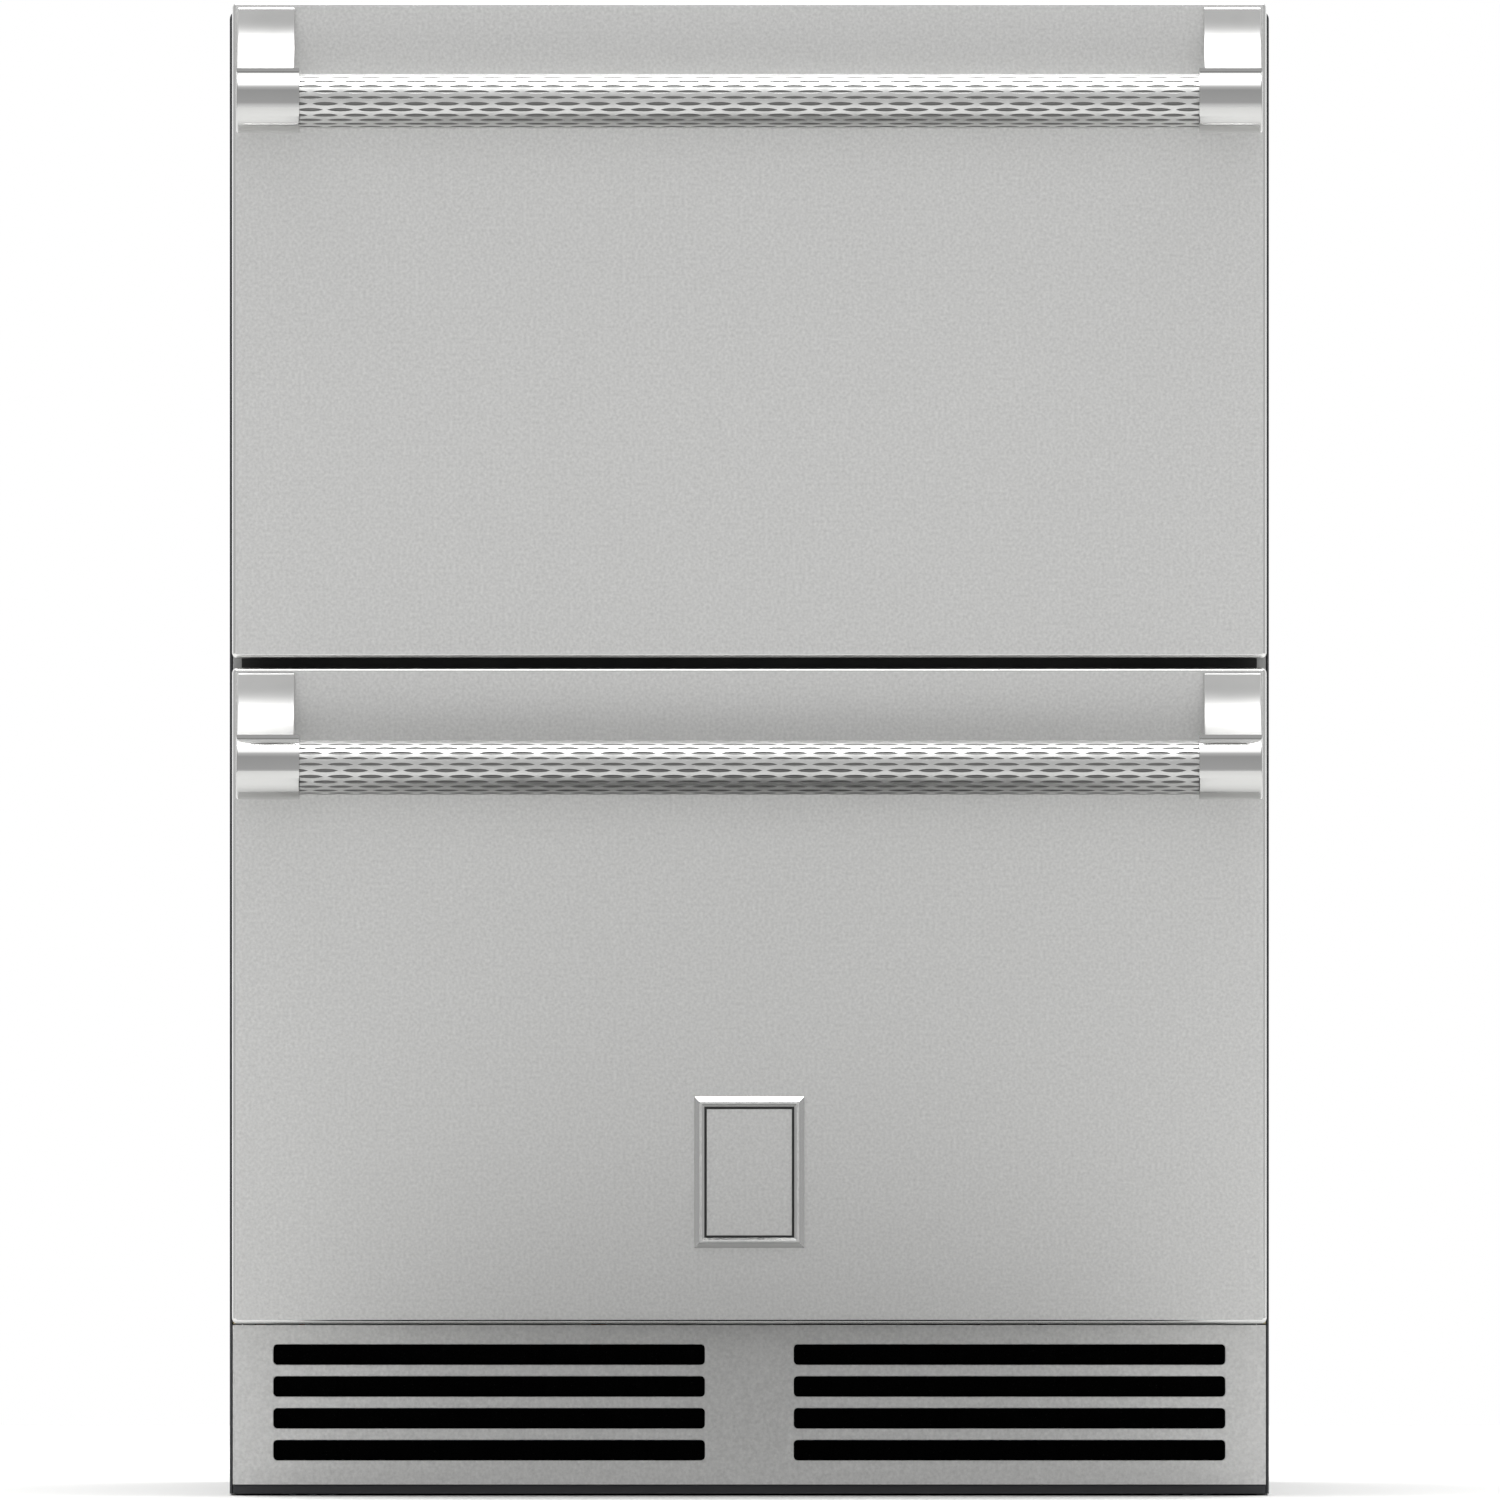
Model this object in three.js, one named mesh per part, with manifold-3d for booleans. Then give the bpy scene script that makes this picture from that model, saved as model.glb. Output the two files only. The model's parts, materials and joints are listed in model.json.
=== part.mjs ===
// Undercounter drawer refrigerator, 24 inch class, in millimetres with +Z up and the front towards -Y.
// The group is laid out from the cabinet's face plane (y = 0, the sheet-metal flange that the drawers
// close on) and is shifted at the end so that the origin is the middle of the footprint, on the floor.

import * as THREE from 'three';
import { mergeVertices } from 'three/addons/utils/BufferGeometryUtils.js';
import Module from 'manifold-3d';

const wasm = await Module();
wasm.setup();

// ---------------------------------------------------------------- driving dimensions

const overallHeight = 870;
const cabinetWidth = 606;
const cabinetDepth = 578;
const seat = 0.3; // gap left between two pieces that touch
const lap = 0.2; // how far two solids of one piece run into each other
const past = 20; // how far a cutting solid runs out beyond what it cuts

const wrapSheet = 1.5;
const wrapDrop = 4; // the cabinet's top lies this far under the top edge of the upper drawer front
const wrapCorner = 5;
const skirtClear = 1; // the wrap and the base's skirt end this far above the floor

const rearSheet = 1;
const linerSheet = 1;
const sideFoam = 42;
const ceilingFoam = 43;
const rearFoam = 50;
const floorFoam = 41;
const bayHeight = 225; // underside of the insulation over the compressor
const bayDepth = 212;
const flangeCorner = 3;

const baseSheet = 1.5;
const baseFloor = 6.2; // top of the base pan's floor
const baseFlange = 16;
const baseFlangeStart = 20;
const baseShort = 3.5; // the base ends this far in front of the wrap's back edge
const footRadius = 17;
const footPad = 4.4;
const footShoulder = 3;
const footStem = 5;
const footTravel = 25;
const stemHeld = 9; // the stem stays in its boss by this much at full travel
const footInsetX = 48;
const footInsetY = 46;
const legBoss = 10;
const bossHeight = footTravel + stemHeld;

const grilleHeight = 93;
const grilleSheet = 1.5;
const grilleProud = 3;
const grilleReturn = 15; // depth of the folded ends behind the cabinet's face
const slotLength = 251.5;
const slotHeight = 11.8;
const slotPitch = 18.6;
const slotRows = 4;
const slotCentreX = 151.7;
const slotLowest = 26.5;
const slotCorner = 2.3;

const frontSideGap = 1.9; // the cabinet shows by this much beside the drawer fronts
const frontThickness = 46;
const frontSkin = 1.2;
const frontCorner = 3.5;
const frontEdge = 2;
const grilleGap = 1.5; // lower drawer front to vent grille
const drawerGap = 5.8;
const gasketGap = 8; // cabinet face to the back of a drawer front
const gasketInset = 8;
const gasketWidth = 14;
const frameProud = 2;
const frameInset = 7;
const frameReveal = 3.5; // the frame stops this far inside the flange's lower edge and the wrap
const frameLap = 2; // the frame's openings are this much smaller than the liner's mouth
const frameCorner = 4;
const mouthCorner = 8;
const mullionHeight = 52;
const mullionDepth = 38;
const mullionWall = 5;
const plugInset = 22;
const plugDepth = 10;
const plugCorner = 12;
const grooveDepth = 4;
const grooveHalf = 2;

const barRadius = 15.75;
const barWall = 1.6;
const barDrop = 58; // bar centre under the top edge of its drawer front
const barStandoff = 45; // bar centre in front of the drawer front
const barGrip = 15; // how far the bar enters each bracket
const capWall = 2.75; // the cap's wall round the bar
const capLength = 36.8;
const capInset = 2.9;
const capEase = 1.2;
const roundSides = 20; // facets round the bar and the caps
const armWidth = 33.4;
const armTopInset = 3;
const armTop = 3.5; // thickness of the arm at its top
const armLip = 5; // straight run at the arm's top, above the sweep
const archHeight = 22;

const badgeWidth = 64;
const badgeHeight = 88;
const badgeThickness = 3;
const badgeBevel = 3;
const badgeRim = 6;
const badgePocket = 1.6;
const badgeCentre = 88; // above the lower edge of the drawer front

const slideHeight = 45;
const slideThickness = 12.7;
const slideSheet = 1.5;
const slideStart = 5;
const slideRearClear = 16; // to the evaporator's cover
const slideCapture = 3; // lip that holds one section inside the next
const slidePlay = 0.7; // running clearance between one section and the next
const slideStep = 2.2; // the drawer's section stands this far proud of the cabinet's
const binSheet = 1.5;
const binCorner = 8;
const binCornerSteps = 2;
const binShort = 5; // the bin ends this far in front of the slides' ends
const binRimReach = 4;
const binRimDrop = 9;
const binRimSheet = 1.2;
const binRimCorner = { outside: 10, inside: 9 };
const ventSlotsPerSide = 2;
const ventSlotDrop = 40; // under the bin's rim
const ventSlotHeight = 8;
const ventSlotCorner = 3.9;
const ventSlotMargin = 30;
const ventSlotGap = 16;

const fanBlades = 5;
const fanBladeThickness = 1.4;
const condenserFanRadius = 38.5;
const evaporatorFanRadius = 47;
const ductWall = 2;
const ductLength = 26;
const ductSides = 14;
const tipGap = 2.5;
const fanHeadroom = 7.5; // from the condenser fan's duct up to the insulation
const fanPlay = 4; // from each end of the duct to the blades
const shaftRadius = 2.5;
const shaftReach = 13; // shaft behind the hub
const suctionRadius = 4;
const dischargeRadius = 3.5;
const liquidRadius = 3;
const capillaryRadius = 2;
const coilTube = 3;
const coilEndPlate = 2;
const mouldedWall = 2;

// ---------------------------------------------------------------- levels and planes that follow from them

const capRadius = barRadius + capWall;
const condenserDuct = condenserFanRadius + tipGap + ductWall;
const wrapTop = overallHeight - wrapDrop;
const grilleBottom = baseFloor + seat;
const grilleTop = grilleBottom + grilleHeight;
const lowerFrontBottom = grilleTop + grilleGap;
const frontHeight = (overallHeight - lowerFrontBottom - drawerGap) / 2;
const upperFrontBottom = lowerFrontBottom + frontHeight + drawerGap;
const frontWidth = cabinetWidth - 2 * frontSideGap;
const frontBackY = -gasketGap;
const frontFaceY = frontBackY - frontThickness;
const mullionCentre = upperFrontBottom - drawerGap / 2;
const mullionBottom = mullionCentre - mullionHeight / 2;
const mullionTop = mullionCentre + mullionHeight / 2;

const insideX = cabinetWidth / 2 - wrapSheet; // inner face of the wrap
const linerX = insideX - sideFoam - linerSheet - 2 * seat; // inner face of the liner
const linerTop = wrapTop - wrapSheet - ceilingFoam - linerSheet - 2 * seat;
const foamBottom = grilleBottom + 2 * condenserDuct + fanHeadroom;
const flangeBottom = lowerFrontBottom - 1; // lower edge of the front flange
const linerFloor = foamBottom + floorFoam + linerSheet;
const stepTop = bayHeight + floorFoam + linerSheet;
const linerBack = cabinetDepth - rearSheet - rearFoam - linerSheet - 2 * seat;
const bayFront = cabinetDepth - rearSheet - bayDepth;
const stepFront = bayFront - floorFoam - linerSheet;
const wrapBack = cabinetDepth - rearSheet - seat;

const coverDepth = 54;
const coverFront = linerBack - seat - coverDepth;
const slideLength = coverFront - slideStart - slideRearClear;
const binX = linerX - slideThickness - 2 * seat;
const binFront = frontBackY + plugDepth + seat;
const binBack = slideStart + slideLength - binShort;
const binLift = { upper: 16, lower: 8, step: 8 }; // under each bin's floor
const binHeadroom = { upper: 50, lower: 15 };
const upperBin = { bottom: mullionTop + binLift.upper, top: linerTop - binHeadroom.upper };
const lowerBin = { bottom: linerFloor + binLift.lower, top: mullionBottom - binHeadroom.lower };
const shelfBottom = stepTop + binLift.step; // the lower bin's rear part passes over the compressor step
const wellClear = 22;
const wellBack = stepFront - wellClear;
const slideLift = { upper: 72, lower: 55 };
const upperSlideZ = upperBin.bottom + slideLift.upper;
const lowerSlideZ = shelfBottom + slideLift.lower;

// ---------------------------------------------------------------- materials

const metal = (color, roughness) => new THREE.MeshStandardMaterial({ color, roughness, metalness: 1 });
const plain = (color, roughness) => new THREE.MeshStandardMaterial({ color, roughness, metalness: 0 });
const finish = {
  satinSteel: metal(0xc2c2c2, 0.38),
  polishedSteel: metal(0xdedede, 0.08),
  coatedSteel: new THREE.MeshStandardMaterial({ color: 0x46474a, roughness: 0.5, metalness: 0.4 }),
  galvanised: metal(0x9a9d9f, 0.45),
  foam: plain(0xd9cfae, 0.9),
  blackPlastic: plain(0x0c0c0d, 0.45),
  greyPlastic: plain(0x8e9194, 0.5),
  whitePlastic: plain(0xe4e5e6, 0.4),
  rubber: plain(0x111112, 0.7),
  enamel: plain(0x151517, 0.3),
  copper: metal(0xb8734a, 0.3),
  aluminium: metal(0xb9bbbd, 0.35),
  lightLens: plain(0xf4f6f2, 0.25),
};

// ---------------------------------------------------------------- solids

// A closed geometry as a manifold solid, with shared vertices merged and collapsed triangles dropped.
function solidOf(geometry) {
  const bare = geometry.index ? geometry.toNonIndexed() : geometry.clone();
  for (const name of Object.keys(bare.attributes)) if (name !== 'position') bare.deleteAttribute(name);
  const merged = mergeVertices(bare, 1e-4);
  const index = merged.index.array;
  const kept = [];
  for (let i = 0; i < index.length; i += 3) {
    const [a, b, c] = [index[i], index[i + 1], index[i + 2]];
    if (a !== b && b !== c && a !== c) kept.push(a, b, c);
  }
  const vertProperties = merged.attributes.position.array;
  return new wasm.Manifold(new wasm.Mesh({ numProp: 3, vertProperties, triVerts: new Uint32Array(kept) }));
}

function geometryOf(solid) {
  const { vertProperties, triVerts } = solid.getMesh();
  const geometry = new THREE.BufferGeometry();
  geometry.setAttribute('position', new THREE.BufferAttribute(vertProperties, 3));
  geometry.setIndex(new THREE.BufferAttribute(triVerts, 1));
  const flat = geometry.toNonIndexed();
  flat.computeVertexNormals();
  return flat;
}

const ordered = (a, b) => (a < b ? [a, b] : [b, a]);
const joined = (first, ...rest) => rest.reduce((sum, each) => sum.add(each), first);
const without = (first, ...rest) => rest.reduce((left, each) => left.subtract(each), first);

function block([x0, x1], [y0, y1], [z0, z1]) {
  const box = new THREE.BoxGeometry(x1 - x0, y1 - y0, z1 - z0);
  return solidOf(box.translate((x0 + x1) / 2, (y0 + y1) / 2, (z0 + z1) / 2));
}

function outline(points) {
  return new THREE.Shape(points.map(([a, b]) => new THREE.Vector2(a, b)));
}

function roundedRectangle([a0, a1], [b0, b1], radius) {
  const shape = new THREE.Shape();
  shape.absarc(a1 - radius, b0 + radius, radius, -Math.PI / 2, 0, false);
  shape.absarc(a1 - radius, b1 - radius, radius, 0, Math.PI / 2, false);
  shape.absarc(a0 + radius, b1 - radius, radius, Math.PI / 2, Math.PI, false);
  shape.absarc(a0 + radius, b0 + radius, radius, Math.PI, 1.5 * Math.PI, false);
  return shape;
}

function centred(a, b, width, height, radius) {
  return roundedRectangle([a - width / 2, a + width / 2], [b - height / 2, b + height / 2], radius);
}

function prism(shape, depth, curveSegments, bevel = {}) {
  return new THREE.ExtrudeGeometry(shape, { depth, curveSegments, bevelEnabled: false, ...bevel });
}

// Outline drawn in X and Y, raised from z0 to z1.
function raised(shape, [z0, z1], curveSegments = 4) {
  return solidOf(prism(shape, z1 - z0, curveSegments).translate(0, 0, z0));
}

// Outline drawn in X and Z, running back from y0 to y1.
function runBack(shape, [y0, y1], curveSegments = 4, bevel) {
  return solidOf(prism(shape, y1 - y0, curveSegments, bevel).rotateX(Math.PI / 2).translate(0, y1, 0));
}

// Outline drawn in Y and Z, running across from x0 to x1.
function runAcross(shape, [x0, x1], curveSegments = 4, bevel) {
  const turn = new THREE.Matrix4().makeBasis(
    new THREE.Vector3(0, 1, 0),
    new THREE.Vector3(0, 0, 1),
    new THREE.Vector3(1, 0, 0),
  );
  return solidOf(prism(shape, x1 - x0, curveSegments, bevel).applyMatrix4(turn).translate(x0, 0, 0));
}

// Profile of [radius, height] pairs turned about the Z axis through (x, y).
function turned(profile, [x, y], sides = 24) {
  const lathe = new THREE.LatheGeometry(profile.map(([r, h]) => new THREE.Vector2(r, h)), sides);
  return solidOf(lathe.rotateX(Math.PI / 2).translate(x, y, 0));
}

// The same profile turned about an axis that runs back along Y through (x, z).
function turnedBack(profile, [x, z], sides = 24) {
  const lathe = new THREE.LatheGeometry(profile.map(([r, h]) => new THREE.Vector2(r, h)), sides);
  return solidOf(lathe.translate(x, 0, z));
}

// The same profile turned about an axis that runs across along X through (y, z).
function turnedAcross(profile, [y, z], sides = 24) {
  const lathe = new THREE.LatheGeometry(profile.map(([r, h]) => new THREE.Vector2(r, h)), sides);
  return solidOf(lathe.rotateZ(-Math.PI / 2).translate(0, y, z));
}

const rod = (radius, [h0, h1]) => [[0, h0], [radius, h0], [radius, h1], [0, h1]];

// A round tube through a list of points, with its bends smoothed.
function pipe(points, radius, steps, sides = 8) {
  const places = points.map((point) => new THREE.Vector3(...point));
  const extrudePath = new THREE.CatmullRomCurve3(places, false, 'catmullrom', 0.15);
  const section = new THREE.Shape();
  section.absarc(0, 0, radius, 0, 2 * Math.PI, false);
  const options = { steps, curveSegments: sides / 2, extrudePath, bevelEnabled: false };
  return solidOf(new THREE.ExtrudeGeometry(section, options));
}

function piece(name, solid, material, group) {
  const mesh = new THREE.Mesh(geometryOf(solid), material);
  mesh.name = name;
  group.add(mesh);
  return mesh;
}

// ---------------------------------------------------------------- cabinet

function cabinetWrap() {
  const half = cabinetWidth / 2;
  const shape = roundedRectangle([-half, half], [skirtClear - past, wrapTop], wrapCorner);
  const inner = roundedRectangle(
    [-insideX, insideX],
    [skirtClear - 2 * past, wrapTop - wrapSheet],
    wrapCorner - wrapSheet,
  );
  const below = block(
    [-half - past, half + past],
    [-past, wrapBack + past],
    [skirtClear - 3 * past, skirtClear],
  );
  return without(runBack(shape, [0, wrapBack]), runBack(inner, [-past, wrapBack + past]), below);
}

// The cavity's section in Y and Z, with the step over the compressor and drawn out through the face;
// grow moves every wall outwards.
function cavitySection(grow) {
  return outline([
    [-past, linerFloor - grow],
    [stepFront + grow, linerFloor - grow],
    [stepFront + grow, stepTop - grow],
    [linerBack + grow, stepTop - grow],
    [linerBack + grow, linerTop + grow],
    [-past, linerTop + grow],
  ]);
}

function cabinetInsulation() {
  const frontY = linerSheet + seat;
  const top = wrapTop - wrapSheet - seat;
  const section = outline([
    [frontY, foamBottom],
    [bayFront, foamBottom],
    [bayFront, bayHeight],
    [wrapBack, bayHeight],
    [wrapBack, top],
    [frontY, top],
  ]);
  const outside = insideX - seat;
  const clear = linerSheet + seat;
  const cavity = runAcross(cavitySection(clear), [-linerX - clear, linerX + clear]);
  const fillet = roundedRectangle([-outside, outside], [foamBottom - past, top], wrapCorner - wrapSheet);
  const body = runAcross(section, [-outside, outside]).intersect(runBack(fillet, [0, cabinetDepth]));
  const drainBore = turned(
    rod(drain.radius + seat, [foamBottom - past, linerFloor]),
    [drain.x, drain.y],
    drain.sides,
  );
  return without(body, cavity, drainBore);
}

function innerLiner() {
  const shell = runAcross(cavitySection(linerSheet), [-linerX - linerSheet, linerX + linerSheet]);
  const space = runAcross(cavitySection(0), [-linerX, linerX]);
  const edge = insideX - seat;
  const top = wrapTop - wrapSheet - seat;
  const frontCut = block([-edge, edge], [-2 * past, linerSheet / 2], [foamBottom - past, top + past]);
  const flange = roundedRectangle([-edge, edge], [flangeBottom, top], flangeCorner);
  const drainHole = turned(
    rod(drain.radius - drain.wall, [linerFloor - past, linerFloor + past]),
    [drain.x, drain.y],
    drain.sides,
  );
  return without(joined(without(shell, frontCut), runBack(flange, [0, linerSheet], 3)), space, drainHole);
}

function faceFrame() {
  const edge = cabinetWidth / 2 - frameInset;
  const height = [flangeBottom + frameReveal, wrapTop - wrapSheet - frameReveal];
  const frame = runBack(roundedRectangle([-edge, edge], height, frameCorner), [-frameProud, -seat], 2);
  const mouthX = linerX - frameLap;
  const lower = roundedRectangle([-mouthX, mouthX], [linerFloor + frameLap, mullionBottom], mouthCorner);
  const upper = roundedRectangle([-mouthX, mouthX], [mullionTop, linerTop - frameLap], mouthCorner);
  const beamX = linerX - seat;
  const beam = block([-beamX, beamX], [-frameProud, mullionDepth], [mullionBottom, mullionTop]);
  const hollow = block(
    [-beamX - past, beamX + past],
    [mullionWall, mullionDepth + past],
    [mullionBottom + mullionWall, mullionTop - mullionWall],
  );
  const through = [-frameProud - past, mullionDepth + past];
  const openings = [lower, upper].map((shape) => runBack(shape, through, 2));
  return without(joined(frame, beam), ...openings, hollow);
}

function footPlaces() {
  const x = cabinetWidth / 2 - footInsetX;
  return [
    ['foot_front_left', -x, footInsetY],
    ['foot_front_right', x, footInsetY],
    ['foot_rear_left', -x, cabinetDepth - footInsetY],
    ['foot_rear_right', x, cabinetDepth - footInsetY],
  ];
}

const compressorX = 118;
const compressorY = bayFront + bayDepth / 2;
const compressorRadius = 78;
const compressorTop = 186;
const stub = { y: compressorY - 22, high: 150, low: 70, wall: 1.5, reach: 8, sunk: 14 };
const mountX = 66;
const mountY = 62;
const mountPlate = { margin: 13, corner: 12, sheet: 4 };
const pedestalTop = 16;
const pedestalRadius = 11;

function basePan() {
  const edge = insideX - seat;
  const back = wrapBack - baseShort;
  const floor = block([-edge, edge], [0, back], [baseFloor - baseSheet, baseFloor]);
  const skirt = without(
    block([-edge, edge], [0, back], [skirtClear, baseFloor]),
    block(
      [-edge + baseSheet, edge - baseSheet],
      [baseSheet, back - baseSheet],
      [skirtClear - past, baseFloor - baseSheet],
    ),
  );
  const flanges = [-1, 1].map((side) => {
    const x = ordered(side * edge, side * (edge - baseSheet));
    return block(x, [baseFlangeStart, back], [skirtClear, baseFloor + baseFlange]);
  });
  const under = baseFloor - baseSheet / 2;
  const bossTop = baseFloor + bossHeight;
  const bosses = footPlaces().map(([, x, y]) => turned(rod(legBoss, [under, bossTop]), [x, y], 8));
  const bore = rod(footStem + 2 * seat, [-past, bossTop + past]);
  const bores = footPlaces().map(([, x, y]) => turned(bore, [x, y], 8));
  const pedestals = [-1, 1].flatMap((i) =>
    [-1, 1].map((j) => {
      const place = [compressorX + i * mountX, compressorY + j * mountY];
      return turned(rod(pedestalRadius, [under, pedestalTop]), place, 8);
    }));
  return without(joined(floor, skirt, ...flanges, ...bosses, ...pedestals), ...bores);
}

function levellingFoot(x, y) {
  const ease = 1;
  const top = baseFloor + bossHeight + 2 * ease;
  const profile = [
    [0, 0], [footRadius - ease, 0], [footRadius, ease], [footRadius, footPad - footShoulder / 2],
    [footRadius - footShoulder, footPad], [footStem, footPad], [footStem, top], [0, top],
  ];
  return turned(profile, [x, y], 10);
}

function ventGrille() {
  const edge = insideX - seat;
  const faceY = -grilleProud;
  const behindFace = faceY + grilleSheet / 3;
  const ease = 1;
  const plate = roundedRectangle([-edge, edge], [grilleBottom, grilleTop], ease);
  const face = runBack(plate, [faceY, faceY + grilleSheet], 2);
  const returns = [-1, 1].map((side) => {
    const x = ordered(side * edge, side * (edge - grilleSheet));
    return block(x, [behindFace, grilleReturn], [grilleBottom + ease, grilleTop - 2 * ease]);
  });
  const lip = block([-edge + ease, edge - ease], [behindFace, -seat], [grilleTop - grilleSheet, grilleTop]);
  const slots = [-1, 1].flatMap((side) =>
    Array.from({ length: slotRows }, (_, row) => {
      const x = side * slotCentreX;
      const z = slotLowest + row * slotPitch;
      return runBack(centred(x, z, slotLength, slotHeight, slotCorner), [faceY - past, faceY + past], 2);
    }));
  return without(joined(face, ...returns, lip), ...slots);
}

const inlet = { x: -235, z: 62, width: 48, height: 30, corner: 5, flangeX: 8, flangeZ: 3 };
const rearInset = 0.5;
const rearCoverSheet = 1.5;
const louvre = { centreX: 90, apart: 120, length: 84, height: 8, lowest: 100, pitch: 26, rows: 3 };

function rearPanel() {
  const edge = cabinetWidth / 2 - rearInset;
  const z = [bayHeight + rearSheet, wrapTop - rearInset];
  return block([-edge, edge], [cabinetDepth - rearSheet, cabinetDepth], z);
}

function rearCover() {
  const edge = insideX - seat;
  const y = [wrapBack - rearCoverSheet - seat, wrapBack - seat];
  const sheet = block([-edge, edge], y, [baseFloor + seat, bayHeight - seat]);
  const through = [y[0] - past, y[1] + past];
  const rows = [-1, 1].flatMap((side) =>
    Array.from({ length: louvre.rows }, (_, row) => {
      const x = louvre.centreX + (side * louvre.apart) / 2;
      const z = louvre.lowest + row * louvre.pitch;
      return runBack(centred(x, z, louvre.length, louvre.height, 0.49 * louvre.height), through, 1);
    }));
  const halfX = inlet.width / 2 - inlet.flangeX;
  const halfZ = inlet.height / 2 - inlet.flangeZ;
  const socket = block([inlet.x - halfX, inlet.x + halfX], through, [inlet.z - halfZ, inlet.z + halfZ]);
  return without(sheet, ...rows, socket);
}

// Appliance inlet: a flange on the rear cover, a body inside and the socket's recess with its three blades.
function powerInlet() {
  const { x, z, width, height, corner, flangeX, flangeZ } = inlet;
  const bodyX = width / 2 - flangeX - seat;
  const bodyZ = height / 2 - flangeZ - seat;
  const depth = 24;
  const recessDepth = 17;
  const blade = { pitch: 7, width: 2, low: -3, high: 2, tip: 4 };
  const flange = runBack(centred(x, z, width, height, corner), [wrapBack, cabinetDepth]);
  const body = block(
    [x - bodyX, x + bodyX],
    [wrapBack - depth, cabinetDepth - seat],
    [z - bodyZ, z + bodyZ],
  );
  const recess = block(
    [x - bodyX + mouldedWall, x + bodyX - mouldedWall],
    [wrapBack - recessDepth, cabinetDepth + past],
    [z - bodyZ + mouldedWall, z + bodyZ - mouldedWall],
  );
  const blades = [-1, 0, 1].map((i) => {
    const middle = x + i * blade.pitch;
    return block(
      [middle - blade.width / 2, middle + blade.width / 2],
      [wrapBack - recessDepth - 1, wrapBack - blade.tip],
      [z + blade.low, z + blade.high],
    );
  });
  return joined(without(joined(flange, body), recess), ...blades);
}

// ---------------------------------------------------------------- refrigeration

// Welded compressor shell: a drawn lower cup and lid that meet at a weld seam, with a stamped foot plate.
function compressor() {
  const r = compressorRadius;
  const bottom = pedestalTop + seat;
  const seam = { z: 100, half: 3, proud: 2 };
  const cup = r - seam.proud;
  const lid = r - 2 * seam.proud;
  const dome = 38;
  const top = compressorTop;
  const shell = turned([
    [0, bottom + 3], [0.72 * r, bottom + 5], [0.94 * r, bottom + 16], [cup, bottom + 30],
    [cup, seam.z - seam.half], [r, seam.z - seam.half], [r, seam.z + seam.half], [lid, seam.z + seam.half],
    [lid - 1, top - dome], [0.82 * r, top - 0.4 * dome], [0.5 * r, top - 0.08 * dome], [0, top],
  ], [compressorX, compressorY], 16);
  const plateX = 2 * (mountX + mountPlate.margin);
  const plateY = 2 * (mountY + mountPlate.margin);
  const plate = raised(
    centred(compressorX, compressorY, plateX, plateY, mountPlate.corner),
    [bottom, bottom + mountPlate.sheet],
    2,
  );
  const stubs = [stub.high, stub.low].map((z) =>
    turnedAcross(
      rod(suctionRadius + stub.wall, [compressorX - r - stub.reach, compressorX - r + stub.sunk]),
      [stub.y, z],
      8,
    ));
  return joined(shell, plate, ...stubs);
}

const relay = { halfX: 26, z: [84, 142], y: [compressorY + 14, compressorY + 66], corner: 6 };

function relayCover() {
  const x = compressorX - compressorRadius;
  const plan = roundedRectangle([x - relay.halfX, x + relay.halfX], relay.z, relay.corner);
  const shell = turned(rod(compressorRadius + 1, [0, compressorTop]), [compressorX, compressorY], 20);
  return without(runBack(plan, relay.y, 3), shell);
}

// Fins between two end plates, drawn as one comb. The tube's bends alternate between the two ends, which
// leaves the lowest and the highest row open at the end that the lines are brazed to.
function finnedCoil({ x, y, z, fins, passes, openEnd, plateY }) {
  const [x0, x1] = x;
  const plate = coilEndPlate;
  const fin = 1.2;
  const spineHalf = 3;
  const pitch = (x1 - x0 - plate) / fins;
  const spine = (z[0] + z[1]) / 2;
  const points = [];
  for (let i = 0; i < fins; i++) {
    const left = x0 + plate + i * pitch;
    const right = left + pitch;
    const root = spine - spineHalf;
    points.push([left, root], [right - fin, root], [right - fin, z[0]], [right, z[0]]);
  }
  const upper = points.map(([a, b]) => [a, 2 * spine - b]).reverse();
  const ends = [[x0 + plate, z[1]], [x0, z[1]], [x0, z[0]], [x0 + plate, z[0]]];
  const comb = runBack(outline([...points, ...upper, ...ends]), y);
  const middle = (y[0] + y[1]) / 2;
  const bend = { start: 5, reach: 11 };
  const bends = Array.from({ length: passes - 1 }, (_, i) => {
    const side = i % 2 === 0 ? -openEnd : openEnd;
    const endX = side < 0 ? x0 + plate / 2 : x1 - plate / 2;
    const [low, high] = [coilRow(z, passes, i), coilRow(z, passes, i + 1)];
    return pipe([
      [endX, middle, low],
      [endX + side * bend.start, middle, low],
      [endX + side * bend.reach, middle, (low + high) / 2],
      [endX + side * bend.start, middle, high],
      [endX, middle, high],
    ], coilTube, 4, 6);
  });
  const plates = [x0, x1].map((end) => block([end - plate / 2, end + plate / 2], plateY, z));
  return joined(comb, ...plates, ...bends);
}

// Height of a coil's tube row, counted from the lowest.
function coilRow(z, passes, row) {
  return z[0] + ((z[1] - z[0]) * (row + 0.5)) / passes;
}

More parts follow.
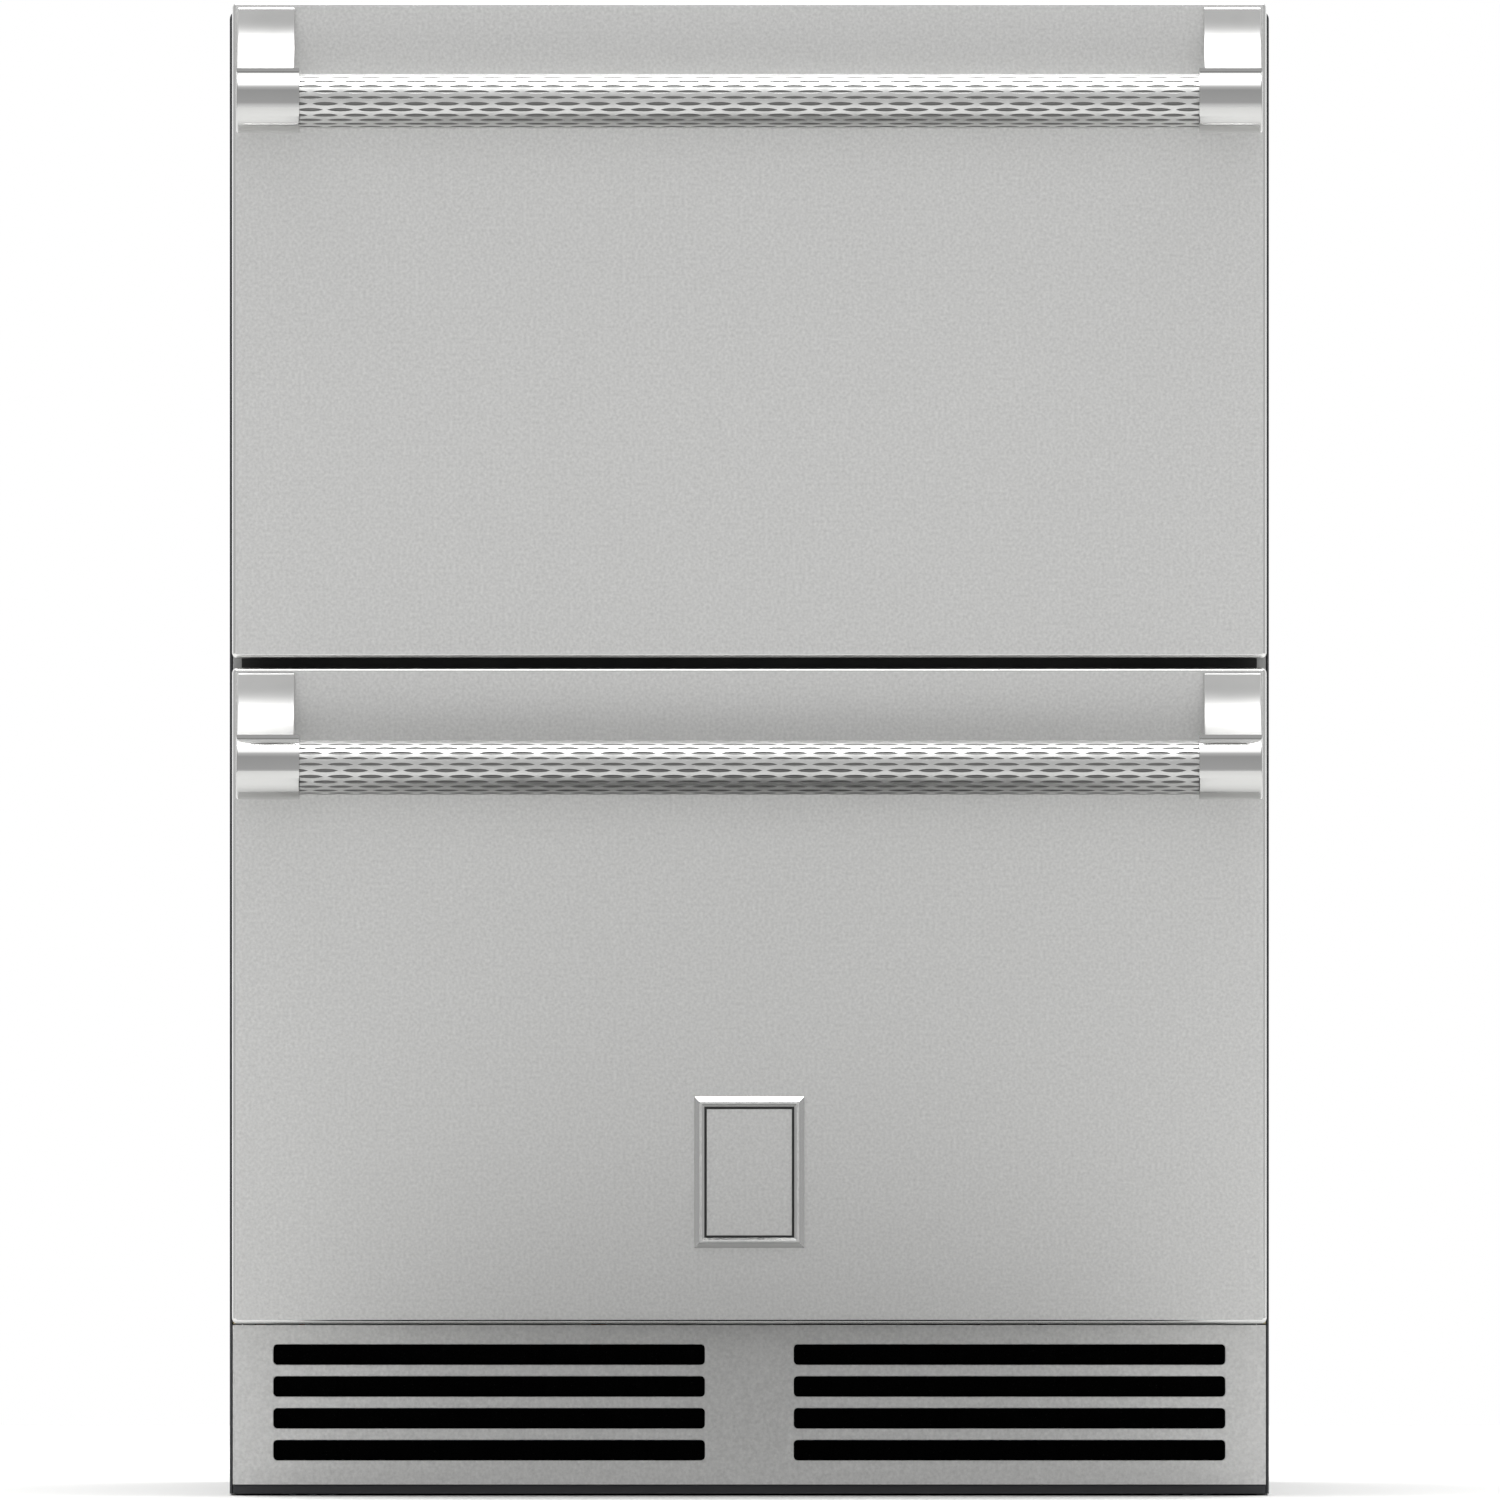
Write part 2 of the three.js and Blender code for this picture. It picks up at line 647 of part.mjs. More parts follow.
// A propeller: hub with a rounded nose, a shaft behind, and blades whose pitch eases from root to tip.
function fanRotor({ x, y, z, radius, hub }) {
  const length = ductLength - 2 * fanPlay;
  const front = y + fanPlay;
  const back = front + length - 1;
  const nose = { inset: 3, depth: 4 };
  const rootSunk = 2;
  const rotor = turnedBack([
    [0, front], [hub - nose.inset, front], [hub, front + nose.depth], [hub, back],
    [shaftRadius, back], [shaftRadius, back + shaftReach], [0, back + shaftReach],
  ], [x, z], 10);
  const blades = Array.from({ length: fanBlades }, (_, i) => {
    const blade = fanBlade(hub - rootSunk, radius, front + length / 2, 0.8 * length);
    return solidOf(blade.rotateY((i * 2 * Math.PI) / fanBlades).translate(x, 0, z));
  });
  return joined(rotor, ...blades);
}

function fanBlade(root, tip, y, depth) {
  const stations = 4;
  const rootPitch = 48;
  const tipPitch = 26;
  const sweep = 0.18;
  const camber = 1.2;
  const section = [
    [-0.5, -0.5], [0, -0.5 - camber], [0.5, -0.5],
    [0.5, 0.5], [0, 0.5 - camber], [-0.5, 0.5],
  ];
  const vertices = [];
  for (let i = 0; i < stations; i++) {
    const t = i / (stations - 1);
    const r = THREE.MathUtils.lerp(root, tip, t);
    const chord = depth * (1.15 + 0.55 * Math.sin(0.75 * Math.PI * t));
    const pitch = THREE.MathUtils.degToRad(THREE.MathUtils.lerp(rootPitch, tipPitch, t));
    for (const [along, across] of section) {
      const u = (along - sweep * t) * chord;
      const v = across * fanBladeThickness;
      const angle = (u * Math.cos(pitch) - v * Math.sin(pitch)) / r;
      const back = u * Math.sin(pitch) + v * Math.cos(pitch);
      vertices.push(
        r * Math.sin(angle),
        y + THREE.MathUtils.clamp(back, -depth / 2, depth / 2),
        r * Math.cos(angle),
      );
    }
  }
  return loft(vertices, stations, section.length);
}

// Closed skin over rings of equal point counts, capped at both ends.
function loft(vertices, rings, count) {
  const index = [];
  for (let i = 0; i < rings - 1; i++) {
    for (let k = 0; k < count; k++) {
      const a = i * count + k;
      const b = i * count + ((k + 1) % count);
      index.push(a, b, b + count, a, b + count, a + count);
    }
  }
  const last = (rings - 1) * count;
  for (let k = 1; k < count - 1; k++) {
    index.push(0, k + 1, k, last, last + k, last + k + 1);
  }
  const geometry = new THREE.BufferGeometry();
  geometry.setAttribute('position', new THREE.Float32BufferAttribute(vertices, 3));
  geometry.setIndex(index);
  return geometry;
}

// Duct that the blades run in, from its front plane back.
function fanDuct(x, z, y, radius) {
  return without(
    turnedBack(rod(radius + tipGap + ductWall, [y, y + ductLength]), [x, z], ductSides),
    turnedBack(rod(radius + tipGap, [y - past, y + ductLength + past]), [x, z], ductSides),
  );
}

// Motor can on a three-armed spider that seats on the duct's back edge.
function fanMotor({ x, y, z, radius, can, length }) {
  const front = y + ductLength + seat;
  const back = front + length;
  const reach = radius + tipGap + ductWall;
  const taper = { inset: 6, depth: 5 };
  const spider = { width: 6, depth: 3, sunk: 4 };
  const boreDepth = shaftReach + 1;
  const body = turnedBack([
    [0, front], [can, front], [can, back - taper.depth], [can - taper.inset, back], [0, back],
  ], [x, z], 16);
  const arms = [0, 1, 2].map((i) => {
    const armLength = reach - can + spider.sunk;
    const arm = new THREE.BoxGeometry(spider.width, spider.depth, armLength);
    arm.translate(0, front + spider.depth / 2, can - spider.sunk + armLength / 2);
    return solidOf(arm.rotateY((i * 2 * Math.PI) / 3 + Math.PI).translate(x, 0, z));
  });
  const bore = turnedBack(rod(shaftRadius + seat, [front - past, front + boreDepth]), [x, z], 12);
  return without(joined(body, ...arms), bore);
}

const condenserBox = { x: [-268, -62], y: [62, 114], z: [grilleBottom, grilleBottom + 2 * condenserDuct] };
const condenserPasses = 6;
const condenserPlateLap = 2; // the coil's end plates reach this far past its fins
const shroudLap = 4; // the shroud's plate and rim reach this far past the coil
const condenserInlet = {
  x: condenserBox.x[0] - coilEndPlate / 2 - seat,
  y: (condenserBox.y[0] + condenserBox.y[1]) / 2,
  low: coilRow(condenserBox.z, condenserPasses, 0),
  high: coilRow(condenserBox.z, condenserPasses, condenserPasses - 1),
};
const condenserFan = {
  x: (condenserBox.x[0] + condenserBox.x[1]) / 2,
  y: condenserBox.y[1] + shroudLap + condenserPlateLap,
  z: (condenserBox.z[0] + condenserBox.z[1]) / 2,
  radius: condenserFanRadius,
};

function condenserShroud() {
  const { x, y, z, radius } = condenserFan;
  const across = [condenserBox.x[0] - shroudLap, condenserBox.x[1] + shroudLap];
  const top = condenserBox.z[1];
  const plate = block(across, [y, y + mouldedWall], condenserBox.z);
  const rim = block(across, [y - shroudLap, y + mouldedWall], [top - mouldedWall, top]);
  const hole = turnedBack(rod(radius + tipGap, [y - past, y + past]), [x, z], ductSides);
  return without(joined(plate, rim, fanDuct(x, z, y, radius)), hole);
}

// Sheet that keeps the bay's warm outlet half apart from its inlet half, with a flange on the base pan.
function airBaffle() {
  const sheet = 1.5;
  const flange = 12;
  const right = -28.5;
  const y = [6, bayFront - 4];
  const floor = baseFloor + seat;
  return joined(
    block([right - sheet, right], y, [floor, foamBottom - seat]),
    block([right - sheet - flange, right], y, [floor, floor + sheet]),
  );
}

const drain = { x: 150, y: bayFront - 74, radius: 8, wall: 2, flare: 14, collar: 4, bottom: 30, sides: 12 };

// Defrost water leaves the liner's floor through this tube, which ends over the evaporating pan.
function drainTube() {
  const { radius, wall, flare, collar, bottom, sides } = drain;
  const place = [drain.x, drain.y];
  const top = linerFloor - linerSheet - seat;
  const tube = turned(rod(radius, [bottom, top]), place, sides);
  const flange = turned(rod(flare, [foamBottom - collar, foamBottom - seat]), place, sides);
  const bore = turned(rod(radius - wall, [bottom - past, top + past]), place, sides);
  return without(joined(tube, flange), bore);
}

const evaporatingPan = { x: [40, 262], y: [bayFront - 132, bayFront - 16], top: 38, corner: 10 };

function drainPan() {
  const { x, y, top, corner } = evaporatingPan;
  const floor = baseFloor + seat;
  const w = mouldedWall;
  const inside = roundedRectangle([x[0] + w, x[1] - w], [y[0] + w, y[1] - w], corner - w);
  return without(
    raised(roundedRectangle(x, y, corner), [floor, top], 2),
    raised(inside, [floor + w, top + past], 2),
  );
}

const controls = { x: [172, 284], y: [62, 150], top: 64, corner: 3 };

// Control electronics: a closed box with three cooling ribs on its lid.
function controlBox() {
  const { x, y, top, corner } = controls;
  const rib = { first: 22, pitch: 20, thickness: 4, inset: 6, sunk: 2, height: 4 };
  const body = runAcross(roundedRectangle(y, [baseFloor + seat, top], corner), x, 2);
  const ribs = [0, 1, 2].map((i) => {
    const front = y[0] + rib.first + i * rib.pitch;
    return block(
      [x[0] + rib.inset, x[1] - rib.inset],
      [front, front + rib.thickness],
      [top - rib.sunk, top + rib.height],
    );
  });
  return joined(body, ...ribs);
}

// The lines are routed as lists of points; they run forward beside the cabinet's left wall at this place.
const wallRun = -288;
const compressorLeft = compressorX - compressorRadius - stub.reach - seat;

function dischargeLine() {
  const { x, y, high } = condenserInlet;
  return pipe([
    [compressorLeft, stub.y, stub.high],
    [compressorLeft - 30, stub.y, stub.high],
    [-120, stub.y, stub.high],
    [-240, stub.y - 6, stub.high - 10],
    [wallRun, stub.y - 60, 104],
    [wallRun, bayFront - 40, high],
    [wallRun, y + 60, high],
    [wallRun, y + 16, high],
    [x - 14, y, high],
    [x, y, high],
  ], dischargeRadius, 22, 6);
}

const drier = { x: -280, z: 30, y: [bayFront - 125, bayFront - 35], radius: 10, cone: 12, neck: 3.5 };

// Liquid line with the filter drier brazed into it, from the condenser to the capillary's end in the foam.
function liquidLine() {
  const { x, y, low } = condenserInlet;
  const [front, back] = drier.y;
  const { radius, cone, neck } = drier;
  const feed = pipe([
    [x, y, low],
    [x - 14, y, low],
    [drier.x - 6, y + 26, low],
    [drier.x - 4, front - 40, drier.z - 8],
    [drier.x, front - 12, drier.z],
    [drier.x, front + 5, drier.z],
  ], liquidRadius, 11, 6);
  const can = turnedBack([
    [0, front], [neck, front], [radius, front + cone],
    [radius, back - cone], [capillaryRadius, back], [0, back],
  ], [drier.x, drier.z], 10);
  const capillary = pipe([
    [drier.x, back - 5, drier.z],
    [drier.x, back + 14, drier.z],
    [-268, bayFront + 50, 60],
    [-262, bayFront + 110, 130],
    [-262, bayFront + 120, 180],
    [-262, bayFront + 120, bayHeight - seat],
  ], capillaryRadius, 10, 6);
  return joined(feed, can, capillary);
}

function suctionLine() {
  return pipe([
    [compressorLeft, stub.y, stub.low],
    [compressorLeft - 26, stub.y, stub.low],
    [-60, stub.y, stub.low + 4],
    [-96, stub.y + 10, 100],
    [-104, stub.y + 20, 160],
    [-104, stub.y + 20, bayHeight - seat],
  ], suctionRadius, 15, 6);
}

const coverClear = { side: 18, step: 12, mullion: 44, top: 8 };
const coverCorner = 14;
const coverX = [-linerX + coverClear.side, linerX - coverClear.side];
const coverZ = [
  Math.max(stepTop + coverClear.step, mullionTop + coverClear.mullion),
  linerTop - coverClear.top,
];
const evaporatorDuct = evaporatorFanRadius + tipGap + ductWall;
const evaporatorFan = {
  x: 0,
  y: coverFront,
  z: coverZ[0] + evaporatorDuct + coverCorner,
  radius: evaporatorFanRadius,
};
const outlet = { count: 4, margin: 30, gap: 8, drop: 26, height: 8 };

// Moulded cover on the rear wall: open at the back, with a fan guard and a row of outlets above.
function evaporatorCover() {
  const { x, y, z, radius } = evaporatorFan;
  const w = mouldedWall;
  const backY = coverFront + coverDepth;
  const faceThrough = [coverFront - past, coverFront + past];
  const shell = runBack(roundedRectangle(coverX, coverZ, coverCorner), [coverFront, backY], 2);
  const inside = roundedRectangle(
    [coverX[0] + w, coverX[1] - w],
    [coverZ[0] + w, coverZ[1] - w],
    coverCorner - w,
  );
  const space = runBack(inside, [coverFront + w, backY + past], 2);
  const mouth = turnedBack(rod(radius + tipGap, faceThrough), [x, z], ductSides);
  const guard = { radius: 0.55 * radius, bar: 3, spokeHeight: 2.4, sunk: 1 };
  const ring = without(
    turnedBack(rod(guard.radius + guard.bar / 2, [coverFront, coverFront + w]), [x, z], 10),
    turnedBack(rod(guard.radius - guard.bar / 2, faceThrough), [x, z], 10),
  );
  const spokes = [0, 1, 2].map((i) => {
    const spoke = new THREE.BoxGeometry(2 * (radius + tipGap + guard.sunk), w, guard.spokeHeight);
    return solidOf(spoke.rotateY((i * Math.PI) / 3).translate(x, coverFront + w / 2, z));
  });
  const outletPitch = (coverX[1] - coverX[0] - 2 * outlet.margin) / outlet.count;
  const outlets = Array.from({ length: outlet.count }, (_, i) => {
    const middle = coverX[0] + outlet.margin + (i + 0.5) * outletPitch;
    const height = coverZ[1] - outlet.drop + outlet.height / 2;
    const shape = centred(middle, height, outletPitch - outlet.gap, outlet.height, 0.49 * outlet.height);
    return runBack(shape, faceThrough, 1);
  });
  const body = without(shell, space, mouth, ...outlets);
  return joined(body, fanDuct(x, z, y, radius), ring, ...spokes);
}

const coilClear = { side: 40, front: 10, back: 12, duct: 6, top: 32, plate: 2 };
const evaporatorBox = {
  x: [coverX[0] + coilClear.side, coverX[1] - coilClear.side],
  y: [coverFront + coilClear.front, linerBack - coilClear.back],
  z: [evaporatorFan.z + evaporatorDuct + coilClear.duct, coverZ[1] - coilClear.top],
};

// ---------------------------------------------------------------- inside fittings

const light = { half: 110, y: [58, 82], height: 9, corner: 3 };

function interiorLight() {
  const lens = roundedRectangle(light.y, [linerTop - light.height, linerTop - seat], light.corner);
  return runAcross(lens, [-light.half, light.half], 3);
}

// Wedge under the ceiling whose sloping face carries the display and sealed membrane keys. Its outline is
// given as distances back from the wedge's front edge and down from the ceiling.
function temperatureControl() {
  const x = [136, 236];
  const front = 40;
  const profile = [[0, 0], [0, 6], [4, 12], [34, 26], [42, 26], [72, 4], [72, 0]];
  return runAcross(outline(profile.map(([back, down]) => [front + back, linerTop - seat - down])), x);
}

// ---------------------------------------------------------------- drawer slides

// The three nested sections of a telescopic slide, drawn from the liner wall (0) towards the bin.
function slideSections() {
  const s = slideSheet;
  const lipSheet = 0.8 * s;
  const channel = (back, mouth, half) => {
    const lip = mouth - lipSheet;
    const catches = half - slideCapture;
    return [
      [back, -half], [mouth, -half], [mouth, -catches], [lip, -catches], [lip, -half + s],
      [back + s, -half + s], [back + s, half - s],
      [lip, half - s], [lip, catches], [mouth, catches], [mouth, half], [back, half],
    ];
  };
  const outerHalf = slideHeight / 2;
  const outerMouth = slideThickness - slideStep;
  const middleHalf = outerHalf - s - seat;
  const middleBack = s + slidePlay;
  const outer = channel(0, outerMouth, outerHalf);
  const middle = channel(middleBack, outerMouth - lipSheet - slidePlay, middleHalf);
  const crown = slideThickness;
  const back = middleBack + s + slidePlay;
  const foot = middleHalf - s - seat;
  const leg = middleHalf - slideCapture - 2 * slidePlay;
  const hat = [
    [crown, -leg], [crown, leg], [back + s, leg], [back + s, foot], [back, foot], [back, leg - s],
    [crown - s, leg - s], [crown - s, -leg + s], [back, -leg + s], [back, -foot], [back + s, -foot],
    [back + s, -leg],
  ];
  return { outer, middle, hat };
}

// One member, with rectangular openings through its web given as [from, to, half height].
function slideMember(section, side, z, openings) {
  const wall = side * (linerX - seat);
  const shape = outline(section.map(([t, height]) => [wall - side * t, z + height]));
  const member = runBack(shape, [slideStart, slideStart + slideLength]);
  const through = ordered(wall - side * past, wall + side * past);
  const cuts = openings.map(([from, to, half]) => block(through, [from, to], [z - half, z + half]));
  return without(member, ...cuts);
}

function addSlide(prefix, z, groups) {
  const { outer, middle, hat } = slideSections();
  const end = slideStart + slideLength;
  const slot = { first: 30, length: 16, half: 3.5 };
  const slotStarts = [slideStart + slot.first, end / 2, end - slot.first - 2 * slot.length];
  const slots = slotStarts.map((y) => [y, y + slot.length, slot.half]);
  const window = [0.36 * end, 0.64 * end, 8];
  const add = (name, section, side, openings, group) =>
    piece(`${prefix}_slide_${name}`, slideMember(section, side, z, openings), finish.galvanised, group);
  for (const [side, word] of [[-1, 'left'], [1, 'right']]) {
    add(`cabinet_member_${word}`, outer, side, slots, groups.fixed);
    add(`middle_member_${word}`, middle, side, [window], groups.fixed);
    add(`drawer_member_${word}`, hat, side, [], groups.drawer);
  }
}

// ---------------------------------------------------------------- drawers

// Folded stainless front: a shallow pan, open at the back, with rounded corners and an eased face edge.
function frontPanel(bottom) {
  const half = frontWidth / 2;
  const top = bottom + frontHeight;
  const plan = (inset) => roundedRectangle(
    [-half + inset, half - inset],
    [bottom + inset, top - inset],
    frontCorner - inset,
  );
  const bevel = { bevelEnabled: true, bevelThickness: frontEdge, bevelSize: frontEdge, bevelSegments: 2 };
  const rounded = runBack(plan(frontEdge), [frontFaceY + frontEdge, frontBackY + past], 2, bevel);
  const behind = block(
    [-half - past, half + past],
    [frontBackY, frontBackY + 2 * past],
    [bottom - past, top + past],
  );
  const inside = runBack(plan(frontSkin), [frontFaceY + frontSkin, frontBackY + past], 2);
  return without(rounded, behind, inside);
}

// Foamed back of a drawer front, with the gasket's groove and the raised plug that the bin bolts to.
function innerPanel(bottom, mouth) {
  const edge = frontSkin + seat;
  const half = frontWidth / 2 - edge;
  const height = [bottom + edge, bottom + frontHeight - edge];
  const plan = roundedRectangle([-half, half], height, frontCorner - edge);
  const slab = runBack(plan, [frontFaceY + edge, frontBackY], 2);
  const plugX = linerX - plugInset;
  const plugPlan = roundedRectangle(
    [-plugX, plugX],
    [mouth[0] + plugInset / 2, mouth[1] - plugInset / 2],
    plugCorner,
  );
  const plug = runBack(plugPlan, [frontBackY - plugDepth, frontBackY + plugDepth], 2);
  const grooveY = [frontBackY - grooveDepth, frontBackY + past];
  const groove = gasketRing(bottom, gasketWidth / 2 - grooveHalf, grooveY);
  return without(joined(slab, plug), groove);
}

// A rectangular ring along the gasket's line, narrower than the gasket by `narrowed` on each side.
function gasketRing(bottom, narrowed, y) {
  const corner = { outer: 6, inner: 3 };
  const edge = frontWidth / 2 - gasketInset;
  const plan = (inset, radius) => roundedRectangle(
    [-edge + inset, edge - inset],
    [bottom + gasketInset + inset, bottom + frontHeight - gasketInset - inset],
    radius,
  );
  const hole = plan(gasketWidth - narrowed, corner.inner);
  return without(runBack(plan(narrowed, corner.outer), y, 1), runBack(hole, [y[0] - past, y[1] + past], 1));
}

// Magnetic gasket: the magnet's bead against the face frame, a narrower bellows, and the dart that sits in
// the panel's groove.
function gasket(bottom) {
  const contact = -frameProud - seat;
  const back = frontBackY + seat;
  const beadDepth = 2.6;
  const waist = 2.5;
  const dartDepth = grooveDepth - 0.5;
  const dartNarrowed = gasketWidth / 2 - grooveHalf + seat;
  const bead = gasketRing(bottom, 0, [contact - beadDepth, contact]);
  const bellows = gasketRing(bottom, waist, [back, contact - beadDepth + lap]);
  const dart = gasketRing(bottom, dartNarrowed, [frontBackY - dartDepth, back + lap]);
  return joined(bead, bellows, dart);
}

// Handle bracket: the bar's round socket, swept up and back into a thin plate against the drawer front.
function handleBracket(side, barZ) {
  const barY = frontFaceY - barStandoff;
  const outerX = frontWidth / 2 - capInset;
  const innerX = outerX - capLength;
  const doorY = frontFaceY - seat;
  const top = barZ + barDrop - armTopInset;
  const sweepTop = top - armLip;
  const plateY = doorY - armTop;
  const ease = 0.8;

  const arm = new THREE.Shape();
  arm.moveTo(doorY, top);
  arm.lineTo(plateY + ease, top);
  arm.lineTo(plateY, top - ease);
  arm.lineTo(plateY, sweepTop);
  arm.absellipse(barY, sweepTop, plateY - barY, sweepTop - barZ - capRadius, 0, -Math.PI / 2, true);
  arm.lineTo(barY, barZ);
  arm.lineTo(barY + capRadius, barZ);
  arm.absellipse(doorY, barZ, doorY - barY - capRadius, archHeight, Math.PI, Math.PI / 2, true);
  arm.lineTo(doorY, top);

  const bevel = {
    bevelEnabled: true,
    bevelThickness: ease,
    bevelSize: ease,
    bevelOffset: -ease,
    bevelSegments: 1,
  };
  const armX = [outerX - armWidth + ease, outerX - ease];
  const cap = [
    [0, innerX], [capRadius, innerX], [capRadius, outerX - capEase],
    [capRadius - capEase, outerX], [0, outerX],
  ];
  const socket = rod(barRadius + seat, [innerX - past, innerX + barGrip + seat]);
  const right = without(
    joined(turnedAcross(cap, [barY, barZ], roundSides), runAcross(arm, armX, 5, bevel)),
    turnedAcross(socket, [barY, barZ], roundSides),
  );
  return side > 0 ? right : right.mirror([1, 0, 0]);
}

function handleBar(barZ) {
  const reach = frontWidth / 2 - capInset - capLength + barGrip;
  const bore = barRadius - barWall;
  const tube = [[bore, -reach], [barRadius, -reach], [barRadius, reach], [bore, reach], [bore, -reach]];
  return turnedAcross(tube, [frontFaceY - barStandoff, barZ], roundSides);
}

// Bevelled frame round a plain recessed field.
function badgePlate() {
  const z = lowerFrontBottom + badgeCentre;
  const box = (inset) => [
    [-badgeWidth / 2 + inset, badgeWidth / 2 - inset],
    [z - badgeHeight / 2 + inset, z + badgeHeight / 2 - inset],
  ];
  const back = frontFaceY - seat;
  const face = back - badgeThickness;
  const tapered = (atBack, atFront, y0, y1) => {
    const ring = ([[x0, x1], [z0, z1]], y) => [x0, y, z0, x1, y, z0, x1, y, z1, x0, y, z1];
    return solidOf(loft([...ring(atBack, y0), ...ring(atFront, y1)], 2, 4));
  };
  const frame = tapered(box(0), box(badgeBevel), back, face);
  const over = 1;
  const mouth = box(badgeRim - badgePocket - over);
  const pocket = tapered(box(badgeRim), mouth, face + badgePocket, face - over);
  return without(frame, pocket);
}

// Deep-drawn pan with rounded corners and a rolled rim; the lower one rises at the back to pass the step.
function bin({ bottom, top }, shelf) {
  const plan = (inset) => roundedRectangle(
    [-binX + inset, binX - inset],
    [binFront + inset, binBack - inset],
    binCorner - inset,
  );
  const rimPlan = (inset, corner) => roundedRectangle(
    [-binX - binRimReach + inset, binX + binRimReach - inset],
    [binFront + inset, binBack + binRimReach - inset],
    corner,
  );
  const steps = binCornerSteps;
  const outer = raised(plan(0), [bottom, top], steps);
  const inner = raised(plan(binSheet), [bottom + binSheet, top + past], steps);
  const rim = without(
    raised(rimPlan(0, binRimCorner.outside), [top - binRimDrop, top], steps),
    raised(plan(lap), [top - binRimDrop - past, top + past], steps),
    raised(rimPlan(binRimSheet, binRimCorner.inside), [top - binRimDrop - past, top - binRimSheet], steps),
  );
  const pan = shelf ? steppedPan(outer, inner, bottom, shelf) : without(outer, inner);
  return without(joined(pan, rim), ...ventSlots(top));
}

// The pan with its rear part, from `wall` back, raised so that its floor lies at `floor`.
function steppedPan(outer, inner, bottom, { floor, wall }) {
  const x = [-binX - past, binX + past];
  const above = [floor, overallHeight];
  const gone = block(x, [wall, binBack + past], [bottom - past, floor]);
  const tray = without(outer, inner.translate(0, 0, floor - bottom))
    .intersect(block(x, [wall - binSheet, binBack + past], above));
  const riser = outer.intersect(block(x, [wall - binSheet, wall], [bottom, floor + binSheet]));
  return joined(without(outer, inner, gone), tray, riser);
}

function ventSlots(top) {
  const span = (binBack - binFront - 2 * ventSlotMargin) / ventSlotsPerSide;
  return [-1, 1].flatMap((side) =>
    Array.from({ length: ventSlotsPerSide }, (_, i) => {
      const y = binFront + ventSlotMargin + (i + 0.5) * span;
      const z = top - ventSlotDrop + ventSlotHeight / 2;
      const shape = centred(y, z, span - ventSlotGap, ventSlotHeight, ventSlotCorner);
      return runAcross(shape, ordered(side * (binX - past), side * (binX + past)), 1);
    }));
}

function addDrawer(prefix, bottom, mouth, binSolid, groups) {
  const barZ = bottom + frontHeight - barDrop;
  const drawer = groups.drawer;
  piece(`${prefix}_front_panel`, frontPanel(bottom), finish.satinSteel, drawer);
  piece(`${prefix}_inner_panel`, innerPanel(bottom, mouth), finish.whitePlastic, drawer);
  piece(`${prefix}_gasket`, gasket(bottom), finish.rubber, drawer);
  piece(`${prefix}_handle_bar`, handleBar(barZ), finish.polishedSteel, drawer);
  piece(`${prefix}_handle_bracket_left`, handleBracket(-1, barZ), finish.polishedSteel, drawer);
  piece(`${prefix}_handle_bracket_right`, handleBracket(1, barZ), finish.polishedSteel, drawer);
  piece(`${prefix}_bin`, binSolid, finish.satinSteel, drawer);
}

// ---------------------------------------------------------------- assembly

const refrigerator = new THREE.Group();
const cabinet = new THREE.Group();
const machinery = new THREE.Group();
const upperDrawer = new THREE.Group();
const lowerDrawer = new THREE.Group();
refrigerator.add(cabinet, machinery, upperDrawer, lowerDrawer);

piece('cabinet_wrap', cabinetWrap(), finish.coatedSteel, cabinet);
piece('rear_panel', rearPanel(), finish.galvanised, cabinet);
piece('cabinet_insulation', cabinetInsulation(), finish.foam, cabinet);
piece('inner_liner', innerLiner(), finish.satinSteel, cabinet);
piece('face_frame', faceFrame(), finish.blackPlastic, cabinet);
piece('base_pan', basePan(), finish.coatedSteel, cabinet);
piece('vent_grille', ventGrille(), finish.satinSteel, cabinet);
piece('rear_cover', rearCover(), finish.galvanised, cabinet);
piece('power_inlet', powerInlet(), finish.blackPlastic, cabinet);
piece('interior_light', interiorLight(), finish.lightLens, cabinet);
piece('temperature_control', temperatureControl(), finish.greyPlastic, cabinet);
for (const [name, x, y] of footPlaces()) piece(name, levellingFoot(x, y), finish.galvanised, cabinet);

piece('compressor', compressor(), finish.enamel, machinery);
piece('compressor_relay_cover', relayCover(), finish.blackPlastic, machinery);
piece('condenser', finnedCoil({
  ...condenserBox,
  fins: 10,
  passes: condenserPasses,
  openEnd: -1,
  plateY: [condenserBox.y[0] - condenserPlateLap, condenserBox.y[1] + condenserPlateLap],
}), finish.enamel, machinery);
piece('condenser_fan_shroud', condenserShroud(), finish.blackPlastic, machinery);
piece('condenser_fan', fanRotor({ ...condenserFan, hub: 14 }), finish.greyPlastic, machinery);
const condenserMotor = fanMotor({ ...condenserFan, can: 20, length: 30 });
piece('condenser_fan_motor', condenserMotor, finish.blackPlastic, machinery);
piece('air_baffle', airBaffle(), finish.galvanised, machinery);
piece('drain_tube', drainTube(), finish.whitePlastic, machinery);
piece('drain_pan', drainPan(), finish.blackPlastic, machinery);
piece('control_box', controlBox(), finish.greyPlastic, machinery);
piece('discharge_line', dischargeLine(), finish.copper, machinery);
piece('liquid_line', liquidLine(), finish.copper, machinery);
piece('suction_line', suctionLine(), finish.copper, machinery);
piece('evaporator_cover', evaporatorCover(), finish.whitePlastic, machinery);
piece('evaporator_coil', finnedCoil({
  ...evaporatorBox,
  fins: 10,
  passes: 4,
  openEnd: -1,
  plateY: [evaporatorBox.y[0] - coilClear.plate, linerBack - seat],
}), finish.aluminium, machinery);
piece('evaporator_fan', fanRotor({ ...evaporatorFan, hub: 16 }), finish.greyPlastic, machinery);
const evaporatorMotor = fanMotor({ ...evaporatorFan, can: 18, length: 20 });
